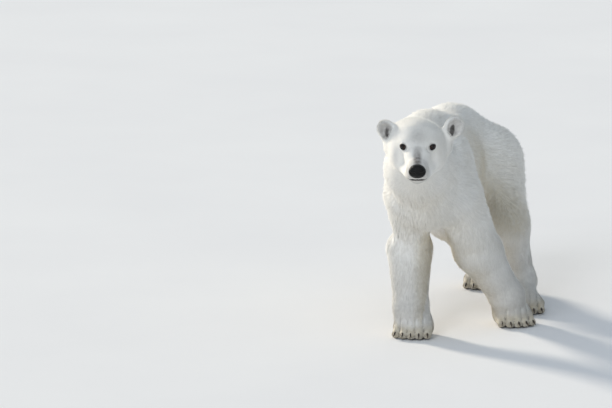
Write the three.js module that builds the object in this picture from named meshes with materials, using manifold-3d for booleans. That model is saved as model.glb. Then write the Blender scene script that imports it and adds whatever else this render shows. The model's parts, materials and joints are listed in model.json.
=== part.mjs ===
// A polar bear standing still, life size, with its head turned a little to its left.
//
// Millimetres, +Z up. The bear looks along -Y and its left side is +X.
// Places in this file are measured from the ground under its shoulders; at the very end the
// whole group is moved so that its origin is the middle of the floor under the bear.
//
// The outside of the coat is one smooth field: a function that is negative inside the bear,
// zero on the coat and positive outside. It is joined from tapered limbs and egg shapes.
// Each part of the body is meshed from that one field on a grid as fine as the part needs,
// and then parted from its neighbours with thin cuts, so that every outline runs on unbroken.

import * as THREE from 'three';
import { mergeVertices } from 'three/addons/utils/BufferGeometryUtils.js';
import Module from 'manifold-3d';

const wasm = await Module();
wasm.setup();

// ---- Driving dimensions -----------------------------------------------------------------

const GAP = 0.3;                     // left between two parts that meet
const CLEAR = GAP / 2;               // each part's share of it
const SLIVER = 0.02;                 // faces thinner than this are closed up after a cut

const EYE_MIDDLE = [-5, -459, 1041]; // between the eyes
const EYE_SPREAD = 69;               // from the middle of the face to each eye
const EYE_GAZE = [0.34, 1, 0.05];    // where the left eye looks, in the head's own measures
const EYE_RISE = 6;
const EYE_RADIUS = 14.5;
const EYE_STANDS_OUT = 4;            // how far the eyeball shows in front of the face
const HEAD_TURN = 11;                // degrees to the bear's left
const HEAD_DIP = 11;                 // degrees down
const EARS = {                       // middle of each ear; half width, thickness and height
  left: { middle: [170, -142, 50], radii: [50, 20, 55] },
  right: { middle: [151, -142, 33], radii: [46, 20, 50] },
};
const EAR_CUP = 0.7;                 // the hollow's width and height, as shares of the ear's
const EAR_ROOM = [8, 22, 9];         // how far the cut round each ear stands off its flap
const NOSE_PLACE = [0, 163, -58];    // in the head's own measures
const NOSE_RADII = [40, 24, 32];
const BRIDGE_PLACE = [0, 146, -50];  // the nose's upper end
const BRIDGE_RADII = [30, 24, 17];

const MIDDLE = -84;                  // the trunk lies this far from the ground point, along X
const TRUNK_NARROWING = 0.84;        // the trunk's width against its depth

const TOES = 5;
const CLAW_LENGTH = 50;
const CLAW_RADIUS = 8.5;
const CLAW_BEND = 0.85;              // radians, from root to tip

// Each leg: the joints from the top down, the ground point under its middle toe's tip,
// and where the foot points, in degrees from straight ahead to the bear's left. A fore leg
// also has its half width just above the elbow, and how far it is set in there.
const LEGS = {
  fore_right: {
    side: -1, top: [-162, 110, 690], bend: [-184, 215, 410], wrist: [-152, 100, 140],
    toes: [-128, -35, 0], heading: 3, above: 80, inset: 18,
  },
  fore_left: {
    side: 1, top: [66, 150, 690], bend: [134, 320, 400], wrist: [262, 430, 150],
    toes: [343, 352, 0], heading: 27, above: 118, inset: 0,
  },
  hind_right: {
    side: -1, top: [-228, 1070, 700], bend: [-150, 1010, 430], wrist: [-60, 1335, 165],
    toes: [-18, 1195, 0], heading: 8,
  },
  hind_left: {
    side: 1, top: [66, 1050, 700], bend: [168, 872, 420], wrist: [240, 935, 130],
    toes: [318, 662, 0], heading: 12,
  },
};

// Grid sizes, in proportion to how finely each part is shaped.
const GRID = { trunk: 75, neck: 84, head: 29, ear: 19.5, tail: 52, upper: 86, lower: 64, paw: 32.5 };
// How far each part's grid reaches past the places that it is laid round.
const REACH = { head: 60, ear: 95, neck: 270, tail: 130, bend: 200, shank: 190, paw: 150 };
const EARS_REACH = [185, 0, 90];     // the head's grid takes in the ears too
const SHOULDER_REACH = 1.2;          // share of the shoulder egg
const PAW_UNDER = -45;               // where a paw's grid starts, under the floor
// Sides of the round cutters.
const CUTTER_DETAIL = { eye: 9, nose: 12, bridge: 10, ear: 10, tail: 10, shoulder: 12 };

// ---- Finishes ---------------------------------------------------------------------------

const COAT = new THREE.MeshStandardMaterial({ name: 'coat', color: 0xe9e4d6, roughness: 0.9, metalness: 0 });
const DARK = new THREE.MeshStandardMaterial({ name: 'nose', color: 0x141211, roughness: 0.45, metalness: 0 });
const EYE = new THREE.MeshStandardMaterial({ name: 'eye', color: 0x1c110b, roughness: 0.08, metalness: 0 });
const CLAW = new THREE.MeshStandardMaterial({ name: 'claw', color: 0x2b231d, roughness: 0.4, metalness: 0 });

// ---- Small vector helpers ---------------------------------------------------------------

const radians = THREE.MathUtils.degToRad;
const vector = (place) => new THREE.Vector3(...place);

// Where `place` (left, forward, up) lies when measured from `origin` along `axes`.
function fromAxes(origin, axes, place) {
  const at = vector(origin);
  axes.forEach((axis, i) => at.addScaledVector(axis, place[i]));
  return at.toArray();
}

// Left, forward and up directions of a piece that points along `forward`.
function axesAlong(forward, up = [0, 0, 1]) {
  const ahead = vector(forward).normalize();
  const left = vector(up).cross(ahead).normalize();
  return [left, ahead, ahead.clone().cross(left)];
}

// ---- The field's building blocks --------------------------------------------------------

// A tapered limb with round ends, from radius ra at a to radius rb at b.
function limb(a, b, ra, rb) {
  const start = vector(a);
  const along = vector(b).sub(start);
  const offset = new THREE.Vector3();
  return (point) => {
    offset.subVectors(point, start);
    const t = THREE.MathUtils.clamp(offset.dot(along) / along.lengthSq(), 0, 1);
    return offset.addScaledVector(along, -t).length() - (ra + (rb - ra) * t);
  };
}

// An egg shape: half sizes `radii` along the piece's own axes.
function egg(centre, radii, axes = [vector([1, 0, 0]), vector([0, 1, 0]), vector([0, 0, 1])]) {
  const middle = vector(centre);
  const offset = new THREE.Vector3();
  return (point) => {
    offset.subVectors(point, middle);
    let near = 0;
    let steep = 0;
    axes.forEach((axis, i) => {
      const share = offset.dot(axis) / radii[i];
      near += share * share;
      steep += (share / radii[i]) ** 2;
    });
    near = Math.sqrt(near);
    return near * (near - 1) / Math.max(Math.sqrt(steep), 1e-9);
  };
}

// Two distances joined with a soft fillet about k / 4 deep.
function blend(a, b, k) {
  const h = Math.max(k - Math.abs(a - b), 0) / k;
  return Math.min(a, b) - h * h * k / 4;
}

const join = (k, first, ...rest) => (point) => (
  rest.reduce((distance, field) => blend(distance, field(point), k), first(point))
);
const carve = (k, field, cutter) => (point) => -blend(-field(point), cutter(point), k);

// ---- Head -------------------------------------------------------------------------------

const headAxes = axesAlong([
  Math.sin(radians(HEAD_TURN)) * Math.cos(radians(HEAD_DIP)),
  -Math.cos(radians(HEAD_TURN)) * Math.cos(radians(HEAD_DIP)),
  -Math.sin(radians(HEAD_DIP)),
]);
const headPlace = (place) => fromAxes(EYE_MIDDLE, headAxes, place);

const earAxes = axesAlong([0.25, 1, 0.12], [0.35, 0, 1]);

function ear(side) {
  const { middle: [x, y, z], radii } = EARS[side];
  const hollow = [EAR_CUP * radii[0], radii[1], EAR_CUP * radii[2]];
  return carve(8, egg([x, y, z], radii, earAxes), egg([x + 4, y + 20, z + 2], hollow, earAxes));
}

function headField() {
  const skull = egg([0, -95, 0], [117, 120, 79]);
  const crown = egg([0, -120, 20], [122, 86, 57]);
  const cheek = egg([82, -105, -70], [60, 88, 72]);
  const forehead = limb([0, -80, 8], [0, 22, -32], 80, 55);
  const brow = egg([42, -40, 18], [38, 46, 25]);
  const muzzle = limb([0, -10, -42], [0, 125, -72], 60, 47);
  const snout = egg([0, 118, -70], [50, 58, 43]);
  const lips = egg([24, 95, -94], [31, 60, 25]);
  const jaw = limb([70, -110, -108], [27, 74, -114], 50, 29);
  const chin = egg([0, 98, -117], [34, 52, 23]);
  const earRoot = limb([150, -142, 20], [124, -135, -50], 20, 42);
  const dome = join(30, skull, crown);
  const face = join(30, join(40, join(30, join(55, dome, cheek), brow), forehead), muzzle);
  const mouth = join(14, join(36, join(12, join(24, face, snout), lips), jaw), chin);
  const bare = join(30, mouth, earRoot);
  const leftEar = ear('left');
  const rightEar = ear('right');
  const own = new THREE.Vector3();
  const offset = new THREE.Vector3();
  const origin = vector(EYE_MIDDLE);
  const roundness = 4;               // softens the crease down the middle of the face
  return (point) => {
    offset.subVectors(point, origin);
    const across = offset.dot(headAxes[0]);
    own.set(Math.sqrt(across * across + roundness), offset.dot(headAxes[1]), offset.dot(headAxes[2]));
    return blend(bare(own), (across > 0 ? leftEar : rightEar)(own), 26);
  };
}

// ---- Neck, trunk and tail ---------------------------------------------------------------

const NECK_ROOT = [-70, 130, 810];
const NECK_MIDDLE = [-72, -110, 877];
const TAIL_ROOT = [-122, 1216, 790];
const TAIL_TIP = [-122, 1296, 672];

function trunkField() {
  const stations = [            // along the body: place against the middle line, and radius
    { at: [14, 90, 750], radius: 182 },
    { at: [-17, 340, 752], radius: 224 },
    { at: [-50, 660, 742], radius: 240 },
    { at: [-44, 960, 760], radius: 226 },
    { at: [-30, 1110, 750], radius: 180 },
  ];
  const lengths = stations.slice(1).map((next, i) => (
    limb(stations[i].at, next.at, stations[i].radius, next.radius)
  ));
  const round = join(60, ...lengths);
  const narrow = new THREE.Vector3();
  const slack = 0.94;              // evens the distance out after the narrowing
  const barrel = (point) => {
    narrow.set((point.x - MIDDLE) / TRUNK_NARROWING, point.y, point.z);
    return round(narrow) * slack;
  };
  const withers = egg([-140, 390, 884], [160, 330, 187]);
  const spine = limb([-100, 240, 880], [-124, 900, 888], 68, 76);
  const croup = egg([-136, 1000, 796], [160, 245, 165]);
  const belly = egg([-112, 680, 660], [170, 380, 165]);
  const brisket = egg([-56, 75, 700], [135, 140, 150]);
  const back = join(90, join(110, join(90, barrel, withers), spine), croup);
  return join(80, back, belly, brisket);
}

const neckField = () => join(
  60,
  limb(NECK_ROOT, NECK_MIDDLE, 184, 158),
  limb(NECK_MIDDLE, headPlace([-22, -150, -32]), 158, 122),
);

const tailField = () => limb(TAIL_ROOT, TAIL_TIP, 54, 42);

// ---- Legs -------------------------------------------------------------------------------

// Left, forward and up directions of a foot that points `heading` degrees to the left.
function footAxes(leg) {
  const angle = radians(leg.heading);
  return axesAlong([Math.sin(angle), -Math.cos(angle), 0]);
}

// The toes of one foot as limbs that fan out; `t` runs from -1 to 1 across the foot.
function toeRow(shape) {
  return Array.from({ length: TOES }, (_, i) => {
    const t = (2 * i) / (TOES - 1) - 1;
    return {
      t,
      root: [shape.rootSpread * t, -(100 + shape.rootCurve * t * t), shape.rootHeight - 6 * Math.abs(t)],
      tip: [shape.tipSpread * t, -(30 + shape.tipCurve * t * t), shape.tipHeight],
    };
  });
}

const FORE_TOES = {
  rootSpread: 69, rootCurve: 14, rootHeight: 50, tipSpread: 77, tipCurve: 24, tipHeight: 21,
  thick: 29, thin: 22,
};
const HIND_TOES = {
  rootSpread: 66, rootCurve: 12, rootHeight: 46, tipSpread: 74, tipCurve: 22, tipHeight: 20,
  thick: 27, thin: 21,
};
const toeShape = (name) => (name.startsWith('fore') ? FORE_TOES : HIND_TOES);

function toesField(leg, shape) {
  const axes = footAxes(leg);
  const limbs = toeRow(shape).map(({ root, tip }) => limb(
    fromAxes(leg.toes, axes, root),
    fromAxes(leg.toes, axes, tip),
    shape.thick,
    shape.thin,
  ));
  return join(7, ...limbs);
}

function foreField(leg) {
  const axes = footAxes(leg);
  const onFoot = (place) => fromAxes(leg.toes, axes, place);
  const [x, y, z] = leg.top;
  const [bendX, bendY, bendZ] = leg.bend;
  const blade = egg([x - 2 * leg.side, y + 60, z + 92], [68, 155, 190]);
  const arm = limb(leg.top, [bendX - leg.inset * leg.side, bendY, bendZ], 128, leg.above);
  const forearm = limb(leg.bend, leg.wrist, 114, 83);
  const elbow = egg([bendX + 28 * leg.side, bendY + 42, bendZ - 38], [86, 72, 120]);
  const pad = egg(onFoot([0, -118, 44]), [92, 84, 56], axes);
  const heel = egg(onFoot([0, -165, 52]), [80, 62, 70], axes);
  const instep = limb(leg.wrist, onFoot([0, -128, 62]), 82, 64);
  const upper = join(40, join(80, blade, arm), forearm, elbow);
  const foot = join(45, join(60, upper, heel), join(50, pad, instep));
  return join(16, foot, toesField(leg, FORE_TOES));
}

function hindField(leg) {
  const axes = footAxes(leg);
  const onFoot = (place) => fromAxes(leg.toes, axes, place);
  const [x, y, z] = leg.top;
  const haunch = egg([x, y + 15, z - 24], [120, 195, 200]);
  const thigh = limb(leg.top, leg.bend, 150, 118);
  const shank = limb(leg.bend, leg.wrist, 112, 72);
  const instep = limb(leg.wrist, onFoot([0, -128, 56]), 70, 58);
  const sole = egg(onFoot([0, -128, 40]), [88, 96, 50], axes);
  const upper = join(60, join(90, haunch, thigh), shank);
  const foot = join(45, upper, join(45, instep, sole));
  return join(16, foot, toesField(leg, HIND_TOES));
}

// ---- The whole coat ---------------------------------------------------------------------

const torso = join(45, join(40, join(110, trunkField(), neckField()), headField()), tailField());
const forehand = join(60, torso, foreField(LEGS.fore_right), foreField(LEGS.fore_left));
const coat = join(95, forehand, hindField(LEGS.hind_left), hindField(LEGS.hind_right));

// ---- Meshing ----------------------------------------------------------------------------

// The steepest way out of the field at a point, as a vector of length about 1.
function slope(field, point, step = 0.5) {
  const probe = point.clone();
  const rise = (axis) => {
    probe.copy(point);
    probe[axis] += step;
    const ahead = field(probe);
    probe[axis] -= 2 * step;
    return (ahead - field(probe)) / (2 * step);
  };
  return new THREE.Vector3(rise('x'), rise('y'), rise('z'));
}

// Moves a point onto the field's surface, by at most `reach`.
function settle(field, point, reach) {
  for (let round = 0; round < 3; round += 1) {
    const distance = field(point);
    const way = slope(field, point);
    const step = THREE.MathUtils.clamp(-distance / Math.max(way.lengthSq(), 0.05), -reach, reach);
    point.addScaledVector(way, step);
  }
}

// A closed mesh of the part of the field inside a box. Every grid cell that the surface
// crosses gets one corner, and every grid line that it crosses one four-sided face.
function mesh(field, box, cell) {
  const size = box.getSize(new THREE.Vector3()).toArray();
  const count = size.map((length) => Math.ceil(length / cell) + 1);
  const index = (i, j, k) => (i * count[1] + j) * count[2] + k;
  const onEdge = (i, j, k) => [i, j, k].some((n, axis) => n === 0 || n === count[axis] - 1);
  const place = (i, j, k) => new THREE.Vector3(i, j, k).multiplyScalar(cell).add(box.min);
  const values = new Float64Array(count[0] * count[1] * count[2]);
  const each = (counts, visit) => {
    for (let i = 0; i < counts[0]; i += 1) {
      for (let j = 0; j < counts[1]; j += 1) {
        for (let k = 0; k < counts[2]; k += 1) visit(i, j, k);
      }
    }
  };
  each(count, (i, j, k) => {
    values[index(i, j, k)] = onEdge(i, j, k) ? cell : field(place(i, j, k));
  });

  const corners = [];
  const cornerOf = new Map();
  each(count.map((n) => n - 1), (i, j, k) => {
    const crossings = [];
    for (const axis of [0, 1, 2]) {
      for (const [u, v] of [[0, 0], [0, 1], [1, 0], [1, 1]]) {
        const from = [i, j, k];
        from[(axis + 1) % 3] += u;
        from[(axis + 2) % 3] += v;
        const to = [...from];
        to[axis] += 1;
        const a = values[index(...from)];
        const b = values[index(...to)];
        if ((a < 0) !== (b < 0)) crossings.push(place(...from).lerp(place(...to), a / (a - b)));
      }
    }
    if (crossings.length === 0) return;
    const corner = new THREE.Vector3();
    crossings.forEach((crossing) => corner.addScaledVector(crossing, 1 / crossings.length));
    if (Math.abs(field(corner)) < cell / 2) settle(field, corner, cell / 4);
    cornerOf.set(index(i, j, k), corners.length);
    corners.push(corner);
  });

  const faces = [];
  for (const axis of [0, 1, 2]) {
    const next = (axis + 1) % 3;
    const last = (axis + 2) % 3;
    each(count.map((n, m) => (m === axis ? n - 1 : n)), (...from) => {
      const to = [...from];
      to[axis] += 1;
      const inside = values[index(...from)] < 0;
      if (inside === values[index(...to)] < 0) return;
      const ring = [[0, 0], [1, 0], [1, 1], [0, 1]].map(([u, v]) => {
        const cellAt = [...from];
        cellAt[next] -= u;
        cellAt[last] -= v;
        return cornerOf.get(index(...cellAt));
      });
      const [a, b, c, d] = inside ? ring : ring.reverse();
      const short = corners[a].distanceTo(corners[c]) < corners[b].distanceTo(corners[d]);
      faces.push(...(short ? [a, b, c, a, c, d] : [a, b, d, b, c, d]));
    });
  }
  const geometry = new THREE.BufferGeometry().setFromPoints(corners);
  geometry.setIndex(faces);
  return geometry;
}

// ---- Solids -----------------------------------------------------------------------------

// A geometry made a solid that can be joined and cut.
function solid(geometry) {
  geometry.deleteAttribute('normal');
  geometry.deleteAttribute('uv');
  const merged = mergeVertices(geometry, 1e-4);
  return new wasm.Manifold(new wasm.Mesh({
    numProp: 3,
    vertProperties: new Float32Array(merged.attributes.position.array),
    triVerts: new Uint32Array(merged.index.array),
  }));
}

// A solid made a named mesh again, without the slivers that the cuts leave.
function piece(name, body, material) {
  const { vertProperties, triVerts } = body.simplify(SLIVER).getMesh();
  const geometry = new THREE.BufferGeometry();
  geometry.setAttribute('position', new THREE.BufferAttribute(vertProperties, 3));
  geometry.setIndex(new THREE.BufferAttribute(triVerts, 1));
  geometry.computeVertexNormals();
  const named = new THREE.Mesh(geometry, material);
  named.name = name;
  return named;
}

// Everything beyond a plane, seen along its direction, less `room` millimetres.
function beyond(place, direction, room = CLEAR) {
  const reach = 4000;
  const block = new THREE.BoxGeometry(reach, reach, reach);
  const way = vector(direction).normalize();
  block.translate(0, 0, reach / 2 + room);
  block.applyQuaternion(new THREE.Quaternion().setFromUnitVectors(new THREE.Vector3(0, 0, 1), way));
  block.translate(...place);
  return solid(block);
}
const opposite = (direction) => direction.map((value) => -value);

// Turns a shape that is even from left to right so that its Y points forward along `axes`.
// (Right, forward, up is right-handed, so the shape isn't turned inside out.)
function turn(geometry, [left, forward, up]) {
  geometry.applyMatrix4(new THREE.Matrix4().makeBasis(left.clone().negate(), forward, up));
}

// An egg-shaped cutter, `room` millimetres larger all round, with its poles front and back.
function eggCutter(centre, radii, room, axes, detail) {
  const ball = new THREE.SphereGeometry(1, detail, Math.round(detail * 0.7));
  ball.scale(...radii.map((radius) => radius + room));
  if (axes) turn(ball, axes);
  ball.translate(...centre);
  return solid(ball);
}

// A grid box round some places.
function around(places, margin) {
  return new THREE.Box3().setFromPoints(places.map(vector)).expandByScalar(margin);
}

const middleOf = (a, b, share = 0.5) => vector(a).lerp(vector(b), share).toArray();
const directionOf = (a, b) => vector(b).sub(vector(a)).normalize().toArray();

// ---- Where the parts are parted ---------------------------------------------------------

const HEAD_CUT = {                   // leans forward under the jaw
  place: headPlace([0, -190, 0]),
  direction: fromAxes([0, 0, 0], headAxes, [0, 0.9, 0.42]),
};
const NECK_CUT = { place: [-60, 20, 850], direction: [0, -0.8, 0.6] };
const LEG_TOP = 470;                 // below this height everything belongs to a leg
const TRUNK_BOX = { low: [-480, -200, LEG_TOP - 80], high: [330, 1400, 1160] };
const FORE_HIND = 600;               // Y of the wall between fore and hind legs
const PARTING = {                    // X between left and right legs, at LEG_TOP and at the floor
  fore: { high: -25, low: 80 },
  hind: { high: -5, low: 130 },
};
const SHOULDERS = {                  // the egg that parts each leg's top from the flank
  fore_right: { centre: [-335, 195, 560], radii: [195, 215, 370] },
  fore_left: { centre: [240, 240, 560], radii: [195, 225, 370] },
  hind_right: { centre: [-390, 1075, 560], radii: [210, 235, 330] },
  hind_left: { centre: [236, 1010, 560], radii: [212, 245, 330] },
};
const TAIL_CUT = { centre: [-122, 1316, 680], radii: [78, 76, 96] };

const BLOCK = { far: 900, under: -200, front: -600, back: 1900 };   // ends of a leg's room

// The room that one leg takes, `room` millimetres larger all round: an egg at its top, and
// below the belly a block that leans away from its partner.
function legRoom(name, room) {
  const pair = name.startsWith('fore') ? 'fore' : 'hind';
  const { side } = LEGS[name];
  const shift = -side * room;
  const far = side * BLOCK.far;
  const under = BLOCK.under;
  const lean = (PARTING[pair].high - PARTING[pair].low) / LEG_TOP;
  const outline = new THREE.Shape([
    new THREE.Vector2(PARTING[pair].high + shift, LEG_TOP + room),
    new THREE.Vector2(PARTING[pair].low + shift - lean * under, under),
    new THREE.Vector2(far, under),
    new THREE.Vector2(far, LEG_TOP + room),
  ]);
  const [front, back] = pair === 'fore' ? [BLOCK.front, FORE_HIND + room] : [FORE_HIND - room, BLOCK.back];
  const block = new THREE.ExtrudeGeometry(outline, { depth: back - front, bevelEnabled: false });
  block.rotateX(Math.PI / 2);
  block.translate(0, back, 0);
  const { centre, radii } = SHOULDERS[name];
  return solid(block).add(eggCutter(centre, radii, room, null, CUTTER_DETAIL.shoulder));
}

// ---- Claws ------------------------------------------------------------------------------

// One claw: a cone with its root at `root`, bent down over its length.
function claw(root, ahead, room) {
  const length = CLAW_LENGTH + room;
  const cone = new THREE.ConeGeometry(CLAW_RADIUS + room, length, 5, 2);
  cone.translate(0, length / 2, 0);
  const place = cone.attributes.position;
  for (let i = 0; i < place.count; i += 1) {
    const share = place.getY(i) / length;
    const angle = CLAW_BEND * share;
    const forward = length * Math.sin(angle) / CLAW_BEND;
    const drop = length * (1 - Math.cos(angle)) / CLAW_BEND;
    const height = place.getZ(i);
    place.setXYZ(i, place.getX(i), forward + height * Math.sin(angle), height * Math.cos(angle) - drop);
  }
  turn(cone, axesAlong(ahead));
  cone.translate(...root);
  return solid(cone);
}

function clawPlaces(name) {
  const leg = LEGS[name];
  const shape = toeShape(name);
  const axes = footAxes(leg);
  return toeRow(shape).map(({ t, tip }) => ({
    root: fromAxes(leg.toes, axes, [tip[0], tip[1] + 3, tip[2] + 8]),
    ahead: fromAxes([0, 0, 0], axes, [0.22 * t, 1, 0.05]),
  }));
}

// ---- The parts --------------------------------------------------------------------------

const pieces = [];

function makeHead() {
  const box = around([headPlace([0, 160, -60]), headPlace([0, -190, -20])], REACH.head);
  box.expandByVector(vector(EARS_REACH));
  const ears = ['left', 'right'].map((side) => {
    const sign = side === 'left' ? 1 : -1;
    const [x, y, z] = EARS[side].middle;
    const mirror = (direction) => direction.clone().multiply(vector([sign, 1, 1]));
    const own = earAxes.map(mirror).map((direction) => (
      vector(fromAxes([0, 0, 0], headAxes, direction.toArray()))
    ));
    if (sign > 0) own[0].negate();
    const centre = headPlace([sign * (x + 6), y, z + 4]);
    const radii = EARS[side].radii.map((radius, i) => radius + EAR_ROOM[i]);
    const cutter = (room) => eggCutter(centre, radii, room, own, CUTTER_DETAIL.ear);
    return { name: `ear_${side}`, centre, cutter };
  });

  const nosePlace = headPlace(NOSE_PLACE);
  const bridgePlace = headPlace(BRIDGE_PLACE);
  const nose = (room) => eggCutter(nosePlace, NOSE_RADII, room, headAxes, CUTTER_DETAIL.nose)
    .add(eggCutter(bridgePlace, BRIDGE_RADII, room, headAxes, CUTTER_DETAIL.bridge));

  const eyes = [['left', 1], ['right', -1]].map(([side, sign]) => {
    const [sideways, forward, up] = EYE_GAZE;
    const ahead = vector(fromAxes([0, 0, 0], headAxes, [sideways * sign, forward, up])).normalize();
    const front = vector(headPlace([EYE_SPREAD * sign, 0, EYE_RISE]));
    while (coat(front) < 0) front.addScaledVector(ahead, 0.25);
    const centre = front.addScaledVector(ahead, EYE_STANDS_OUT - EYE_RADIUS).toArray();
    const radii = [EYE_RADIUS, EYE_RADIUS, EYE_RADIUS];
    const ball = (room) => eggCutter(centre, radii, room, headAxes, CUTTER_DETAIL.eye);
    return { name: `eye_${side}`, ball };
  });

  let head = solid(mesh(coat, box, GRID.head)).intersect(beyond(HEAD_CUT.place, HEAD_CUT.direction));
  for (const { name, centre, cutter } of ears) {
    head = head.subtract(cutter(CLEAR));
    const flap = solid(mesh(coat, around([centre], REACH.ear), GRID.ear)).intersect(cutter(-CLEAR));
    pieces.push(piece(name, flap, COAT));
  }
  for (const { name, ball } of eyes) {
    head = head.subtract(ball(GAP));
    pieces.push(piece(name, ball(0), EYE));
  }
  head = head.subtract(nose(GAP));
  pieces.push(piece('nose', nose(0), DARK), piece('head', head, COAT));
}

function makeNeck() {
  const box = around([NECK_ROOT, headPlace([-8, -190, -32])], REACH.neck);
  const neck = solid(mesh(coat, box, GRID.neck))
    .intersect(beyond(NECK_CUT.place, NECK_CUT.direction))
    .intersect(beyond(HEAD_CUT.place, opposite(HEAD_CUT.direction)));
  pieces.push(piece('neck', neck, COAT));
}

function makeTrunkAndTail() {
  const box = new THREE.Box3(vector(TRUNK_BOX.low), vector(TRUNK_BOX.high));
  let trunk = solid(mesh(coat, box, GRID.trunk))
    .intersect(beyond(NECK_CUT.place, opposite(NECK_CUT.direction)))
    .intersect(beyond([0, 0, LEG_TOP], [0, 0, 1]));
  for (const name of Object.keys(LEGS)) trunk = trunk.subtract(legRoom(name, CLEAR));
  const tailRoom = (room) => eggCutter(TAIL_CUT.centre, TAIL_CUT.radii, room, null, CUTTER_DETAIL.tail);
  trunk = trunk.subtract(tailRoom(CLEAR));
  const tailMesh = mesh(coat, around([TAIL_CUT.centre], REACH.tail), GRID.tail);
  const tail = solid(tailMesh).intersect(tailRoom(-CLEAR));
  pieces.push(piece('trunk', trunk, COAT), piece('tail', tail, COAT));
}

function makeLeg(name) {
  const leg = LEGS[name];
  const names = name.startsWith('fore') ? ['upper_arm', 'forearm', 'paw'] : ['thigh', 'shank', 'paw'];
  const room = legRoom(name, -CLEAR);
  const { centre, radii } = SHOULDERS[name];
  const toeMiddle = fromAxes(leg.toes, footAxes(leg), [0, -95, 60]);
  const bendWay = vector(directionOf(leg.top, leg.bend)).add(vector(directionOf(leg.bend, leg.wrist)));
  const bendCut = { place: leg.bend, direction: bendWay.toArray() };
  const wristWay = vector(directionOf(leg.bend, leg.wrist)).add(vector(directionOf(leg.wrist, toeMiddle)));
  const wristCut = { place: middleOf(leg.wrist, toeMiddle, 0.3), direction: wristWay.toArray() };
  const boxes = [
    new THREE.Box3().setFromCenterAndSize(vector(centre), vector(radii).multiplyScalar(2 * SHOULDER_REACH))
      .union(around([leg.bend], REACH.bend)),
    around([leg.bend, leg.wrist], REACH.shank),
    around([leg.wrist, leg.toes, toeMiddle], REACH.paw),
  ];
  boxes[2].min.z = PAW_UNDER;
  const [upper, lower, foot] = boxes.map((box, i) => (
    solid(mesh(coat, box, [GRID.upper, GRID.lower, GRID.paw][i])).intersect(room)
  ));
  const claws = clawPlaces(name).map((place) => (
    { body: claw(place.root, place.ahead, 0), room: claw(place.root, place.ahead, GAP) }
  ));
  const paw = claws.reduce(
    (rest, one) => rest.subtract(one.room),
    foot.intersect(beyond(wristCut.place, wristCut.direction)).intersect(beyond([0, 0, 0], [0, 0, 1], 0)),
  );
  const middle = lower
    .intersect(beyond(bendCut.place, bendCut.direction))
    .intersect(beyond(wristCut.place, opposite(wristCut.direction)));
  const top = upper.intersect(beyond(bendCut.place, opposite(bendCut.direction)));
  [top, middle, paw].forEach((body, i) => pieces.push(piece(`${name}_${names[i]}`, body, COAT)));
  claws.forEach(({ body }, i) => pieces.push(piece(`${name}_claw_${i + 1}`, body, CLAW)));
}

makeHead();
makeNeck();
makeTrunkAndTail();
Object.keys(LEGS).forEach(makeLeg);

// ---- The bear ---------------------------------------------------------------------------

const bear = new THREE.Group();
bear.name = 'bear';
bear.add(...pieces);
const bounds = new THREE.Box3().setFromObject(bear);
const floorMiddle = bounds.getCenter(new THREE.Vector3()).setZ(bounds.min.z);
bear.position.sub(floorMiddle);

const group = new THREE.Group();
group.name = 'polar_bear';
group.add(bear);

export default group;
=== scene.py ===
# %% [markdown]
# # A young polar bear, life size
# The bear stands on all fours with its left foreleg set wide and its head turned a little to
# its left. On the real animal everything one sees is the coat: a dense woolly layer with long
# guard hairs over it, short on the face and feet and deep on the belly and the backs of the
# legs. It could be painted on one smooth body, but then its outline would be as hard as
# plaster. So it is built in two layers, as a taxidermist does: one seamless skin, smaller than
# the animal by the depth of its coat, and thousands of small solid tufts that grow from it and
# reach out to the true outline.

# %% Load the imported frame
import json
import math
import bmesh
import bpy
import numpy as np
from mathutils import Matrix, Vector


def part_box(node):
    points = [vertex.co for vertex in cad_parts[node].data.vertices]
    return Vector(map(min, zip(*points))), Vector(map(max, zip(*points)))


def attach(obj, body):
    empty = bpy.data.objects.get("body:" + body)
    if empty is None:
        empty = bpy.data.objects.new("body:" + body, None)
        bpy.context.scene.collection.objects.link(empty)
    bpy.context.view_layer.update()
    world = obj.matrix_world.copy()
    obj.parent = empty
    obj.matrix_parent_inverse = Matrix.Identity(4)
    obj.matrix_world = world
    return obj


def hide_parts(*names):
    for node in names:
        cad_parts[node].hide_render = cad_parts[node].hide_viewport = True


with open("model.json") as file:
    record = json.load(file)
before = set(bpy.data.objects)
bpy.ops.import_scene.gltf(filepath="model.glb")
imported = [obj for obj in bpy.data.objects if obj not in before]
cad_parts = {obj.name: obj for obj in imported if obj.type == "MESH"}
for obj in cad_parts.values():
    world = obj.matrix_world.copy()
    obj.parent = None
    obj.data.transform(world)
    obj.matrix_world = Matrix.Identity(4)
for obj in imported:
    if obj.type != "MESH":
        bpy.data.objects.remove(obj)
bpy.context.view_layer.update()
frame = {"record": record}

# %% [markdown]
# ## Where the bear stands in the frame
# The body is sculpted in millimetres from a point on the ground near its shoulders, as its
# solids are. The frame's origin is the middle of the whole outline instead. The sole of the
# right fore paw is a mount with a known place in both, and so it gives the step between them.

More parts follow.
